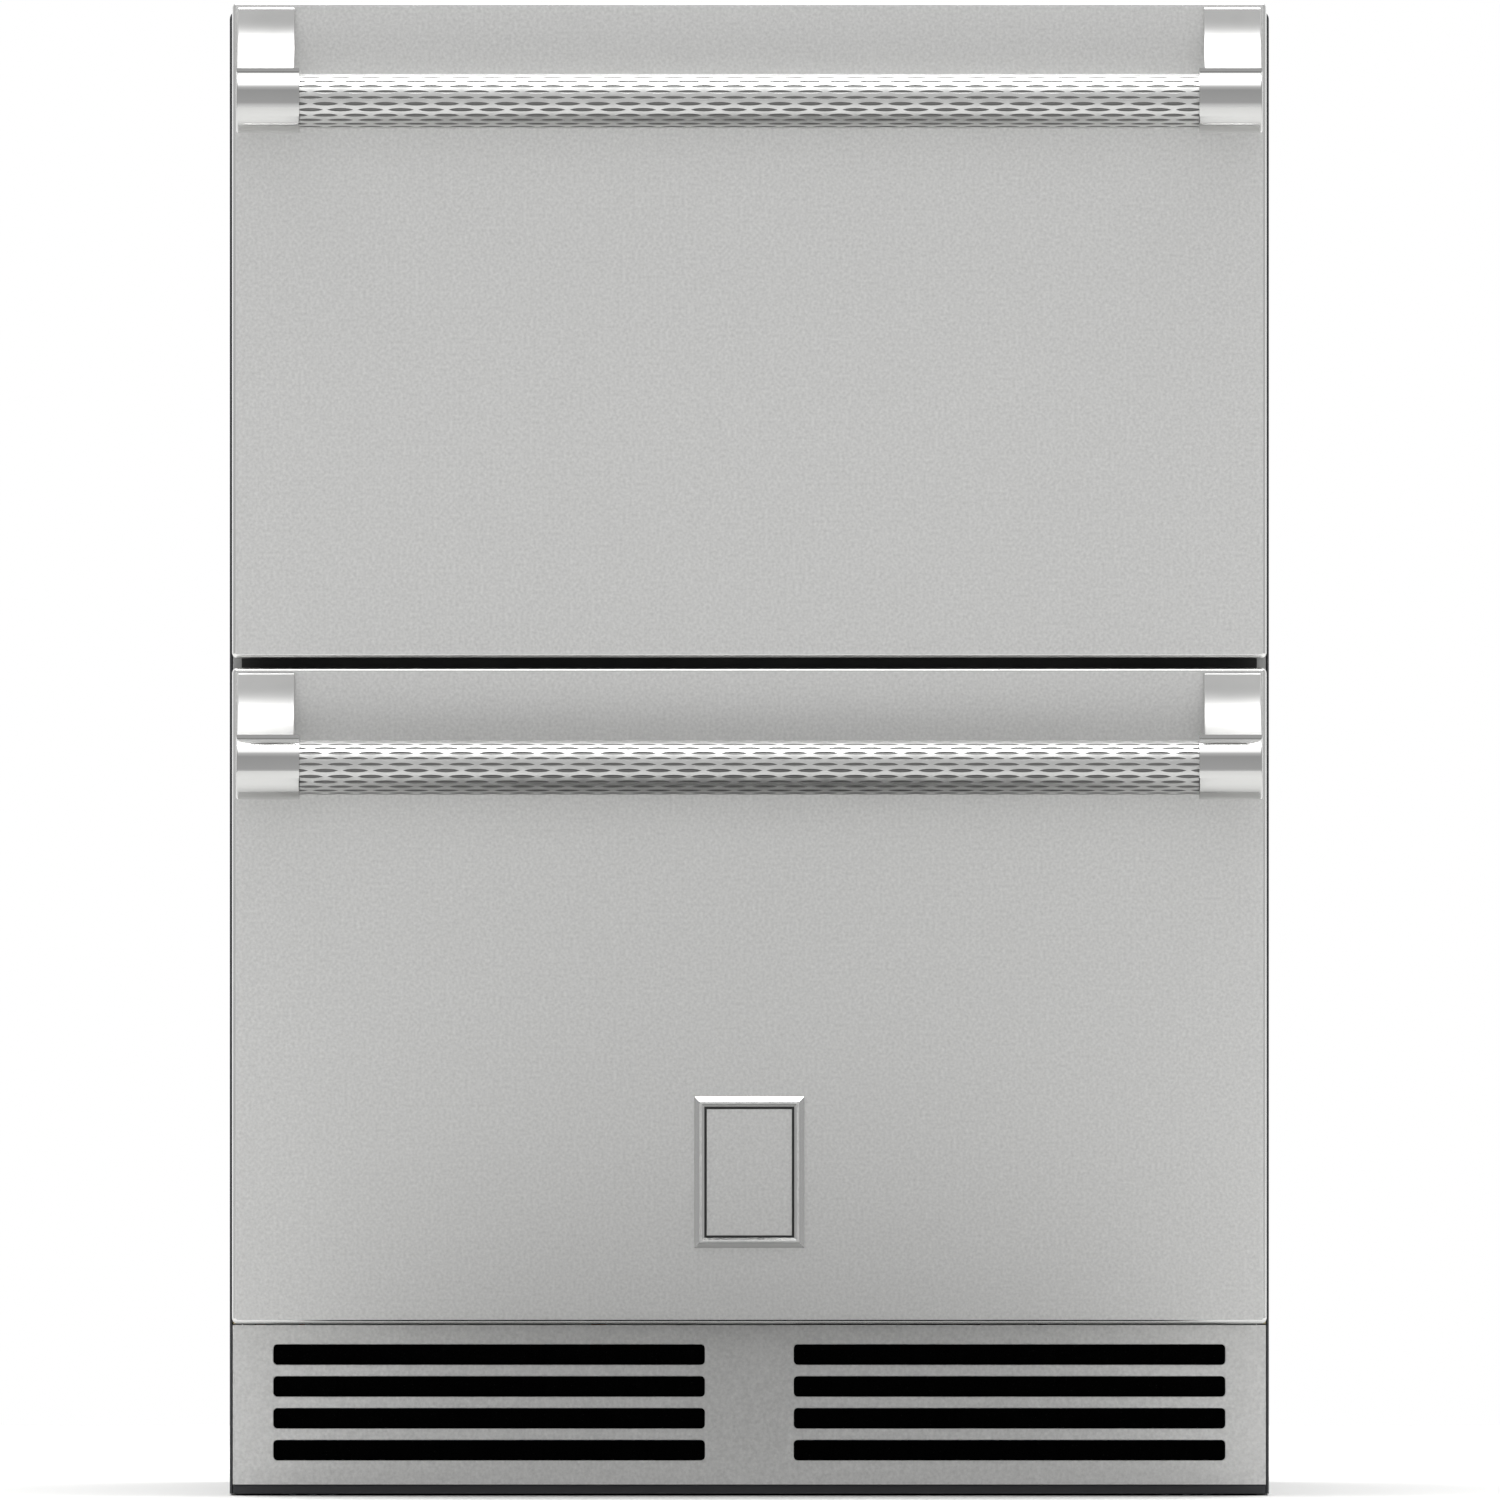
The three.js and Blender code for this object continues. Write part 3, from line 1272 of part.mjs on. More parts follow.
piece('evaporator_fan_motor', evaporatorMotor, finish.blackPlastic, machinery);

addDrawer('upper', upperFrontBottom, [mullionTop, linerTop], bin(upperBin), { drawer: upperDrawer });
addDrawer('lower', lowerFrontBottom, [linerFloor, mullionBottom],
  bin(lowerBin, { floor: shelfBottom, wall: wellBack }), { drawer: lowerDrawer });
addSlide('upper', upperSlideZ, { fixed: cabinet, drawer: upperDrawer });
addSlide('lower', lowerSlideZ, { fixed: cabinet, drawer: lowerDrawer });
piece('badge_plate', badgePlate(), finish.satinSteel, lowerDrawer);

// The footprint runs from the handles' front to the rear panel; its middle is the origin.
const handleFront = frontFaceY - barStandoff - capRadius;
refrigerator.position.y = -(handleFront + cabinetDepth) / 2;

export default refrigerator;
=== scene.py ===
"""Undercounter drawer refrigerator: finished pieces and their finishes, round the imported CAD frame.

Lengths are written in millimetres and turned into Blender's metres by MM. +X is right, +Y back and +Z up.
"""

import json
import math

import bmesh
import bpy
from mathutils import Matrix, Vector

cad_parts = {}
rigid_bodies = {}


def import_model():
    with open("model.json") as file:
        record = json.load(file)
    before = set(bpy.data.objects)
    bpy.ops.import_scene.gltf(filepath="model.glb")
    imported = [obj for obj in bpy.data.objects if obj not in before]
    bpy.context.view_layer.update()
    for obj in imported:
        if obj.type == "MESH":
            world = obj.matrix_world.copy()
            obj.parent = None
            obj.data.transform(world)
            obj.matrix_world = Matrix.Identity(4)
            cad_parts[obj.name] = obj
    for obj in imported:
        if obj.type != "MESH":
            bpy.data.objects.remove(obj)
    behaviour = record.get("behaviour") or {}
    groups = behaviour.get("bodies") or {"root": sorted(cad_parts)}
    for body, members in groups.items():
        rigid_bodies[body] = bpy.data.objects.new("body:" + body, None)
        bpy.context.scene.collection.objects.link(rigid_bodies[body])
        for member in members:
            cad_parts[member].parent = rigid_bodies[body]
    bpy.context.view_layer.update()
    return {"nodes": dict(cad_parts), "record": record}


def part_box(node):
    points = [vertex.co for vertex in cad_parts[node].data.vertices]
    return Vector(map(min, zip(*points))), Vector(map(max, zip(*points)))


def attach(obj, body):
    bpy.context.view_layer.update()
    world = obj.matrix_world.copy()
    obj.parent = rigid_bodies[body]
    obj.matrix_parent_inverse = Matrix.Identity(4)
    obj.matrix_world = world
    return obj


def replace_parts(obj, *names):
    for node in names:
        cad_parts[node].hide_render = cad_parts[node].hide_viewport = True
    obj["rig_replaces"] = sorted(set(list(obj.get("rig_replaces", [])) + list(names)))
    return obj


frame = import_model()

MM = 0.001
TOUCH = 0.01  # points nearer to each other than this, in millimetres, are in one place
NEAR = 0.1  # how far something may lie from the place looked for, in millimetres
THROUGH = 5  # how far a cutting tool stands out past what it cuts, in millimetres
ALONG = 0.9  # a direction whose part along an axis is over this runs along that axis

record = frame["record"]
body_of = {node: body for body, nodes in record["behaviour"]["bodies"].items() for node in nodes}
slot_of = {row["node"]: row["material_slot"] for row in record["subparts"]}

# ---- working by hand, in code


def mm(x, y, z):
    """A place or a size given in millimetres, in metres."""
    return Vector((x, y, z)) * MM


def box_of(node):
    """A CAD node's lowest and highest corners in millimetres."""
    low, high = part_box(node)
    return Vector(low) / MM, Vector(high) / MM


def clear_selection():
    """Object mode with nothing selected. All the functions below that start or change a piece begin here."""
    if bpy.context.mode != "OBJECT":
        leave_edit()
    bpy.ops.object.select_all(action="DESELECT")


def work_on(piece):
    clear_selection()
    piece.select_set(True)
    bpy.context.view_layer.objects.active = piece


def edit_all(piece):
    """Edit mode with everything selected."""
    work_on(piece)
    bpy.ops.object.mode_set(mode="EDIT")
    bpy.ops.mesh.select_all(action="SELECT")


def leave_edit():
    bpy.ops.object.mode_set(mode="OBJECT")


def settle(name):
    """Names the new primitive and moves its place, turn and size into its mesh."""
    piece = bpy.context.object
    piece.name = name
    bpy.ops.object.transform_apply(location=True, rotation=True, scale=True)
    return piece


def start_block(name, low, high):
    """A box between two corners."""
    clear_selection()
    low, high = Vector(low) * MM, Vector(high) * MM
    bpy.ops.mesh.primitive_cube_add(size=1, location=(low + high) / 2)
    bpy.context.object.scale = high - low
    return settle(name)


TURN_TO = {"X": (0, math.pi / 2, 0), "Y": (-math.pi / 2, 0, 0), "Z": (0, 0, 0)}


def start_rod(name, centre, radius, length, axis="Z", sides=48, tip=None):
    """A round bar, or with a tip radius a cone, its middle at centre and its length along an axis."""
    clear_selection()
    bpy.ops.mesh.primitive_cone_add(
        vertices=sides, radius1=radius * MM, radius2=(radius if tip is None else tip) * MM, depth=length * MM,
        location=mm(*centre), rotation=TURN_TO[axis]
    )
    return settle(name)


KINDS = {"VERT": "verts", "EDGE": "edges", "FACE": "faces"}


def mark(piece, kind, keep):
    """Edit mode with only those points, edges or faces selected that keep(place, way) accepts.

    The place is in millimetres. The way is a face's or a point's normal, or the line of an edge.
    """
    work_on(piece)
    bpy.ops.object.mode_set(mode="EDIT")
    bpy.ops.mesh.select_mode(type=kind)
    bpy.ops.mesh.select_all(action="DESELECT")
    mesh = bmesh.from_edit_mesh(piece.data)
    count = 0
    for item in getattr(mesh, KINDS[kind]):
        if kind == "EDGE":
            first, second = (point.co for point in item.verts)
            place, way = (first + second) / 2, (second - first).normalized()
        elif kind == "FACE":
            place, way = item.calc_center_median(), item.normal
        else:
            place, way = item.co, item.normal
        if keep(place / MM, way):
            item.select_set(True)
            count += 1
    mesh.select_flush_mode()
    bmesh.update_edit_mesh(piece.data)
    if not count:
        raise ValueError(f"{piece.name}: nothing was there to select")


def facing(side):
    """Accepts the faces that look to one side: "+X", "-Y" and so on."""
    sign, axis = (1 if side[0] == "+" else -1), "XYZ".index(side[1])
    return lambda place, way: sign * way[axis] > ALONG


def running(axis):
    """Accepts the edges that run along an axis, or the faces that look either way along it."""
    index = "XYZ".index(axis)
    return lambda place, way: abs(way[index]) > ALONG


def ease(width, segments=3):
    """Rounds the selected edges."""
    bpy.ops.mesh.bevel(offset=width * MM, segments=segments, affect="EDGES", profile=0.5)


def ease_outline(piece, keep, width, segments=3):
    """Rounds the outline of the faces that keep(place, way) accepts."""
    mark(piece, "FACE", keep)
    bpy.ops.mesh.region_to_loop()
    ease(width, segments)
    leave_edit()


def rounded_block(name, low, high, axis, radius, segments=5):
    """A block whose four edges along one axis are rounded."""
    block = start_block(name, low, high)
    mark(block, "EDGE", running(axis))
    ease(radius, segments)
    leave_edit()
    return block


def cushion(name, low, high, side, corner, edge, corner_segments=5, edge_segments=3):
    """A block with rounded corners and an eased edge round the face that looks to one side."""
    block = rounded_block(name, low, high, side[1], corner, corner_segments)
    ease_outline(block, facing(side), edge, edge_segments)
    return block


def inset(width, depth=0):
    bpy.ops.mesh.inset(thickness=width * MM, depth=depth * MM)


def push(x=0, y=0, z=0):
    """Extrudes what is selected and moves it."""
    bpy.ops.mesh.extrude_region_move(TRANSFORM_OT_translate={"value": mm(x, y, z)})


def move(x=0, y=0, z=0):
    bpy.ops.transform.translate(value=mm(x, y, z))


def resize(x, y, z, centre):
    bpy.ops.transform.resize(value=(x, y, z), center_override=mm(*centre))


def modify(piece, kind, **settings):
    """Adds a modifier, sets it and applies it."""
    work_on(piece)
    modifier = piece.modifiers.new(kind.lower(), kind)
    for key, value in settings.items():
        setattr(modifier, key, value)
    bpy.ops.object.modifier_apply(modifier=modifier.name)


def turn(piece, matrix):
    """Applies a piece's place and then a turn about the origin."""
    work_on(piece)
    piece.matrix_world = matrix.to_4x4() @ piece.matrix_basis
    bpy.ops.object.transform_apply(location=True, rotation=True, scale=True)


def shift(piece, x, y, z):
    """Moves a piece's mesh."""
    piece.location = mm(x, y, z)
    turn(piece, Matrix.Identity(3))


def score(piece, places):
    """Draws a line round a piece at each place along X."""
    edit_all(piece)
    for x in places:
        bpy.ops.mesh.select_all(action="SELECT")
        bpy.ops.mesh.bisect(plane_co=mm(x, 0, 0), plane_no=(1, 0, 0))
    leave_edit()


def trim(axis, end, side):
    """In edit mode, cuts off what lies past a plane across an axis, on one side of it, and closes the cut."""
    line = Vector([float(axis == letter) for letter in "XYZ"])
    bpy.ops.mesh.select_all(action="SELECT")
    bpy.ops.mesh.bisect(plane_co=line * end * MM, plane_no=line * side, clear_outer=True, use_fill=True)


def cut(piece, tools, how="DIFFERENCE"):
    """Takes each tool out of a piece, or joins it to the piece, and removes the tool."""
    for tool in tools:
        modify(piece, "BOOLEAN", operation=how, object=tool, solver="EXACT")
        bpy.data.objects.remove(tool)


def copy_of(piece, name, place=(0, 0, 0), mirrored=False):
    """A copy with its own mesh, moved or mirrored across the middle plane."""
    clear_selection()
    twin = piece.copy()
    twin.data = piece.data.copy()
    twin.name = name
    bpy.context.collection.objects.link(twin)
    work_on(twin)
    twin.scale.x = -1 if mirrored else 1
    twin.location = mm(*place)
    bpy.ops.object.transform_apply(location=True, rotation=True, scale=True)
    if mirrored:
        face_outwards(twin)
    return twin


def merge_points(piece, distance=TOUCH):
    """Welds points that lie within a distance of each other."""
    edit_all(piece)
    bpy.ops.mesh.remove_doubles(threshold=distance * MM)
    leave_edit()


def face_outwards(piece):
    edit_all(piece)
    bpy.ops.mesh.normals_make_consistent(inside=False)
    leave_edit()


def join(name, pieces):
    """Makes one piece of several that are welded or moulded together."""
    clear_selection()
    for piece in pieces:
        piece.select_set(True)
    bpy.context.view_layer.objects.active = pieces[0]
    bpy.ops.object.join()
    pieces[0].name = name
    return pieces[0]


def fit(piece, material, like, stands_for=(), angle=32):
    """Smooths a piece, with flat faces next to its eased edges, gives it its finish and hangs it on a CAD node's body.

    like is the CAD node whose body it takes, and stands_for the nodes that it replaces.
    """
    work_on(piece)
    bpy.ops.object.shade_smooth_by_angle(angle=math.radians(angle))
    modify(piece, "WEIGHTED_NORMAL", keep_sharp=True)
    piece.data.materials.clear()
    piece.data.materials.append(material)
    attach(piece, body_of[like])
    if stands_for:
        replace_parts(piece, *stands_for)


def refinish(piece, material, keep):
    """Gives a second finish to the faces that keep(place, way) accepts."""
    piece.data.materials.append(material)
    mark(piece, "FACE", keep)
    piece.active_material_index = len(piece.data.materials) - 1
    bpy.ops.object.material_slot_assign()
    leave_edit()


# ---- finishes


def colour(code):
    """An sRGB hex colour as linear RGBA."""
    parts = [int(code[i:i + 2], 16) / 255 for i in (0, 2, 4)]
    return [c / 12.92 if c <= 0.04045 else ((c + 0.055) / 1.055) ** 2.4 for c in parts] + [1]


def add(tree, kind, settings=None, links=None):
    """Adds a node, sets its properties and inputs by name, and joins its inputs to the given outputs."""
    node = tree.nodes.new(kind)
    for key, value in (settings or {}).items():
        if isinstance(key, str) and hasattr(node, key):
            setattr(node, key, value)
        else:
            node.inputs[key].default_value = value
    for key, output in (links or {}).items():
        tree.links.new(output, node.inputs[key])
    return node


def per(size):
    """Scale of a pattern whose features are this many millimetres across."""
    return 1 / (size * MM)


NOISE_LOW, NOISE_HIGH = 0.3, 0.7  # nearly all of a noise pattern's values lie between these


def finish(name, shades, roughness, mottle, layers, metallic=0.0, **sockets):
    """A material whose colour and roughness drift between two ends, with layers of relief.

    mottle is the size of the drift. Each layer is a pattern, its size (or three, for X, Y and Z) and its depth.
    """
    material = bpy.data.materials.new(name)
    material.use_nodes = True
    tree = material.node_tree
    shader = tree.nodes["Principled BSDF"]
    shader.inputs["Metallic"].default_value = metallic
    for key, value in sockets.items():
        shader.inputs[key.replace("_", " ").title().replace("Ior", "IOR")].default_value = value
    place = add(tree, "ShaderNodeTexCoord").outputs["Object"]
    drift = add(tree, "ShaderNodeTexNoise", {"Scale": per(mottle), "Detail": 4.0}, {"Vector": place})
    shade = add(tree, "ShaderNodeMix", {"data_type": "RGBA"}, {"Factor": drift.outputs["Fac"]})
    shade.inputs[6].default_value, shade.inputs[7].default_value = colour(shades[0]), colour(shades[1])
    tree.links.new(shade.outputs[2], shader.inputs["Base Color"])
    ends = {"From Min": NOISE_LOW, "From Max": NOISE_HIGH, "To Min": roughness[0], "To Max": roughness[1]}
    gloss = add(tree, "ShaderNodeMapRange", ends, {"Value": drift.outputs["Fac"]})
    tree.links.new(gloss.outputs["Result"], shader.inputs["Roughness"])
    relief = None
    for pattern, size, depth in layers:
        sizes = size if isinstance(size, tuple) else (size, size, size)
        spread = add(tree, "ShaderNodeMapping", {"Scale": [per(s) for s in sizes]}, {"Vector": place})
        spot = {"Vector": spread.outputs["Vector"]}
        if pattern == "cells":
            height = add(tree, "ShaderNodeTexVoronoi", {"Scale": 1.0}, spot).outputs["Distance"]
        else:
            height = add(tree, "ShaderNodeTexNoise", {"Scale": 1.0, "Detail": 2.0}, spot).outputs["Fac"]
        bump = add(tree, "ShaderNodeBump", {"Strength": 1.0, "Distance": depth * MM}, {"Height": height})
        if relief:
            tree.links.new(relief, bump.inputs["Normal"])
        relief = bump.outputs["Normal"]
    tree.links.new(relief, shader.inputs["Normal"])
    return material


def metal(*look):
    return finish(*look, metallic=1.0)


# Stainless sheet blasted with glass beads: an even satin grey with a fine sparkle and no direction.
# The beads' dents are about 0.2 mm across and are drawn at 0.9 mm so that they show.
beaded_steel = metal(
    "bead_blasted_stainless_steel", ("BFBFBE", "EFEFEE"), (0.5, 0.56), 1.8,
    [("noise", 0.9, 0.03), ("noise", 3.2, 0.04)]
)
# Stainless castings polished to a mirror: sharp reflections, barely dulled by buffing haze.
polished_steel = metal(
    "mirror_polished_stainless_steel", ("BDBDBC", "C3C3C2"), (0.05, 0.09), 25, [("noise", 18, 0.012)]
)
# The brackets' arms, which the buffing wheel reaches less well: bright, with blurred reflections.
buffed_steel = metal("buffed_stainless_steel", ("CACAC9", "D2D2D1"), (0.46, 0.52), 25, [("noise", 6, 0.012)])
# Handle tube rolled with dimples, then tumbled: still bright, but its reflections are soft.
tumbled_steel = metal(
    "tumbled_stainless_steel", ("CCCCCB", "D4D4D3"), (0.38, 0.44), 20, [("noise", 1.5, 0.006)]
)
# The folded edges of the drawer fronts, ground and polished after blasting: brighter than the face.
edge_steel = metal(
    "polished_edge_stainless_steel", ("D2D2D1", "DADAD9"), (0.16, 0.22), 20, [("noise", 4, 0.01)]
)
# The dimples' floors, which the tumbling stones don't reach: duller, and painted dark as the shade that falls inside
# the hollows.
dimple_shade_steel = metal("unpolished_dimple_steel", ("6E6E6D", "7C7C7B"), (0.45, 0.55), 6, [("noise", 0.8, 0.01)])
# Stainless liner and bins with a brushed grain along the cabinet's width.
# The scratches are about 0.05 mm wide and are drawn 0.5 mm wide.
brushed_steel = metal(
    "brushed_stainless_steel", ("ABACAC", "B8B8B7"), (0.34, 0.42), 80, [("noise", (60, 0.5, 0.5), 0.01)]
)
# Cold-rolled sheet with a charcoal powder coat: satin, with the soft orange peel of cured powder.
powder_coat = finish(
    "charcoal_powder_coated_steel", ("393A3D", "3C3D40"), (0.48, 0.51), 45, [("noise", 1.6, 0.03)],
    specular_ior_level=0.35
)
# Hot-dip galvanised sheet: zinc crystals of about 9 mm with slightly different gloss.
galvanised_steel = metal(
    "hot_dip_galvanised_steel", ("9DA1A4", "B2B5B7"), (0.34, 0.5), 9,
    [("cells", 9, 0.02), ("noise", 1.2, 0.006)]
)
# Foamed-in-place polyurethane: cream yellow, dull, with a skin of fine closed cells.
foam = finish(
    "poured_polyurethane_foam", ("D8C999", "E6DBB4"), (0.8, 0.95), 14,
    [("cells", 1.4, 0.25), ("noise", 30, 0.8)]
)
# Injection-moulded ABS: a soft sheen over a spark-eroded texture of about 0.7 mm.
white_plastic = finish(
    "moulded_white_abs", ("E3E4E3", "EAEBEA"), (0.34, 0.42), 70, [("noise", 0.7, 0.012)], ior=1.54
)
# The same ABS in black, from a mould with a little coarser texture.
black_plastic = finish(
    "moulded_black_abs", ("101011", "161617"), (0.4, 0.52), 50, [("noise", 0.7, 0.016)], ior=1.54
)
# Injection-moulded polypropylene: a waxier sheen, over the same kind of texture.
grey_plastic = finish(
    "moulded_grey_polypropylene", ("86898C", "8F9295"), (0.4, 0.5), 40, [("noise", 0.8, 0.014)], ior=1.49
)
# Extruded soft vinyl for the door gasket: matt black with faint lines of the die along it.
gasket_vinyl = finish(
    "extruded_gasket_vinyl", ("141414", "1D1D1D"), (0.55, 0.68), 30, [("noise", 2.5, 0.02)], ior=1.53
)
# Stoved enamel on the compressor shell and condenser: a thick gloss coat over drawn steel.
black_enamel = finish("stoved_black_enamel", ("0B0B0C", "111112"), (0.18, 0.3), 30, [("noise", 3.5, 0.05)])
# Drawn copper tube: warm metal with brown oxide drifting over it.
copper = metal("drawn_copper_tube", ("9C5A36", "C98A62"), (0.22, 0.4), 12, [("noise", (20, 20, 0.6), 0.01)])
# Rolled aluminium fin stock: pale and a little cloudy.
aluminium = metal("rolled_aluminium", ("B4B6B8", "C6C8C9"), (0.3, 0.42), 20, [("noise", (0.6, 12, 12), 0.012)])
# Polycarbonate light cover, frosted inside: milky, lit a little from behind.
frosted_lens = finish(
    "frosted_polycarbonate", ("F1F4F0", "F8FAF7"), (0.3, 0.4), 30, [("noise", 1.1, 0.03)], ior=1.585,
    subsurface_weight=0.2
)
# Zinc-plated steel screws: bright, faintly blue.
zinc_plate = metal("zinc_plated_steel", ("B5BABF", "C3C7CA"), (0.22, 0.34), 3, [("noise", 0.8, 0.006)])
# Open-cell polyurethane filter: cut foam with pores of about 1.5 mm; its near-black colour without sheen is painted
# shade, for the dark bay behind the grille's slots.
foam_filter_shade = finish(
    "open_cell_foam_filter_painted_shade", ("020202", "060606"), (0.95, 1.0), 8, [("cells", 1.5, 0.8)],
    specular_ior_level=0.0
)
# Tinted acrylic over the temperature display: black and glossy, with a faint ripple from the mould.
tinted_window = finish(
    "tinted_acrylic_window", ("060608", "0A0A0C"), (0.06, 0.12), 20, [("noise", 9, 0.01)], ior=1.49
)
# Screen-printed black on steel: thin satin ink.
black_ink = finish("screen_printed_black_ink", ("0D0D0E", "151516"), (0.45, 0.6), 5, [("noise", 0.5, 0.006)])

finish_of_slot = {
    "coated_steel": powder_coat,
    "stainless_satin": brushed_steel,
    "stainless_polished": polished_steel,
    "galvanised_steel": galvanised_steel,
    "insulating_foam": foam,
    "white_plastic": white_plastic,
    "black_plastic": black_plastic,
    "grey_plastic": grey_plastic,
    "gasket_rubber": gasket_vinyl,
    "light_lens": frosted_lens,
    "black_enamel": black_enamel,
    "copper": copper,
    "aluminium": aluminium,
}

# ---- drawer fronts


def drawer_front(drawer):
    """Folded stainless pan, open at the back, with rounded corners and an eased edge round its face."""
    node = f"{drawer}_front_panel"
    low, high = box_of(node)
    skin, corner, edge = 1.2, 3, 2.7
    front = cushion(f"{drawer}_front_skin", low, high, "-Y", corner, edge, 6, 6)
    mark(front, "FACE", facing("+Y"))
    inset(skin)
    push(y=low.y - high.y + skin)
    fit(front, beaded_steel, node, [node])
    sideways, flat = 0.1, 0.97  # how far forward a side and the face look; the eased edge lies between
    refinish(front, edge_steel, lambda place, way: place.y < low.y + edge and sideways < -way.y < flat)


# ---- handles

DIMPLE_PITCH = 17.6
DIMPLE_ROWS = 28
DIMPLE_STEPS = ((0.3, 0.86, 0.55), (0.12, 0.7, 0.4))  # the depth of each step, and its scale along and across
DIMPLE_FLOOR = 0.12  # what lies deeper than this is a dimple's floor
STAND_UP = Matrix(((0, 1, 0), (0, 0, 1), (1, 0, 0)))  # X to Z, Y to X and Z to Y


def dimpled_bar(drawer):
    """Stainless tube rolled with staggered lens-shaped dimples."""
    node = f"{drawer}_handle_bar"
    low, high = box_of(node)
    centre, radius = (low + high) / 2, (high.z - low.z) / 2
    row = 2 * math.pi * radius / DIMPLE_ROWS
    half = DIMPLE_PITCH / 2
    land, stations, near = 0.4, 3, 0.2  # the web round a dimple, the columns of points each side of its middle
    length, tip, swell, fullness = 0.88, 0.05, 0.73, 0.8  # the dimple's outline, in shares of its cell
    seam, weld = 0.02, 0.03
    clear_selection()
    bpy.ops.mesh.primitive_grid_add(x_subdivisions=2 * stations, y_subdivisions=1, size=1)
    bpy.context.object.scale = mm(DIMPLE_PITCH, row, 1)
    bar = settle(f"{drawer}_dimpled_bar")
    mark(bar, "EDGE", lambda place, way: abs(way.y) > ALONG and abs(place.x) < half - NEAR)
    bpy.ops.mesh.dissolve_edges(use_verts=False)
    bpy.ops.mesh.select_mode(type="FACE")
    bpy.ops.mesh.select_all(action="SELECT")
    inset(land)
    for step in range(-stations, stations + 1):
        column = step * half / stations if abs(step) < stations else math.copysign(half - land, step)
        mark(bar, "VERT", lambda place, way: abs(place.x - column) < near and abs(place.y) < (row - land) / 2)
        width = tip + swell * (1 - (step / stations) ** 2) ** fullness
        resize(length, width, 1, (0, 0, 0))
    for depth, along, across in DIMPLE_STEPS:
        mark(bar, "FACE", lambda place, way: abs(place.x) < land and abs(place.y) < NEAR)
        push(z=-depth)
        resize(along, across, 1, (0, 0, 0))
    bpy.ops.mesh.select_all(action="SELECT")
    bpy.ops.mesh.duplicate_move(TRANSFORM_OT_translate={"value": mm(half, row, 0)})
    columns = math.ceil((high.x - low.x) / DIMPLE_PITCH) + 2
    for count, offset in ((columns, mm(DIMPLE_PITCH, 0, 0)), (DIMPLE_ROWS // 2, mm(0, 2 * row, 0))):
        modify(
            bar, "ARRAY", count=count, use_relative_offset=False, use_constant_offset=True,
            constant_offset_displace=offset, use_merge_vertices=True, merge_threshold=seam * MM
        )
    bar.location = mm(-columns * half, -(DIMPLE_ROWS - 1) * row / 2, 0)
    turn(bar, STAND_UP)
    modify(bar, "SIMPLE_DEFORM", deform_method="BEND", deform_axis="Z", angle=-2 * math.pi)
    turn(bar, STAND_UP.transposed())
    middle = [(min(c) + max(c)) / 2 for c in zip(*(point.co / MM for point in bar.data.vertices))]
    edit_all(bar)
    bpy.ops.mesh.remove_doubles(threshold=weld * MM)
    move(centre.x, centre.y - middle[1], centre.z - middle[2])
    trim("X", low.x, -1)
    trim("X", high.x, 1)
    fit(bar, tumbled_steel, node, [node])
    # The dimples' floors get the darker steel: painted shade in the hollows.
    floor = radius - DIMPLE_FLOOR
    refinish(bar, dimple_shade_steel, lambda place, way: math.hypot(place.y - centre.y, place.z - centre.z) < floor)


def traced(name, points, closed=True):
    """An outline drawn from point to point, and closed and filled unless it is to stay a line."""
    clear_selection()
    bpy.ops.mesh.primitive_plane_add(size=MM, location=mm(*points[0]))
    piece = settle(name)
    edit_all(piece)
    bpy.ops.mesh.select_mode(type="VERT")
    bpy.ops.mesh.merge(type="CENTER")
    for before, after in zip(points, points[1:] + points[:1] if closed else points[1:]):
        push(*(b - a for a, b in zip(before, after)))
    if closed:
        bpy.ops.mesh.select_all(action="SELECT")
        bpy.ops.mesh.remove_doubles(threshold=TOUCH * MM)
        bpy.ops.mesh.edge_face_add()
    return piece


def quarter(steps):
    """Sine and cosine pairs over a quarter turn."""
    return [(math.sin(a), math.cos(a)) for a in (i * math.pi / 2 / steps for i in range(steps + 1))]


# The small step cast along a cap's top, where the arm starts: places in front of the bar's axis and above it.
LEDGE = ((0, 17.5), (0, 18.5), (3.75, 18.7), (6.75, 19.1), (6.75, 16.9))


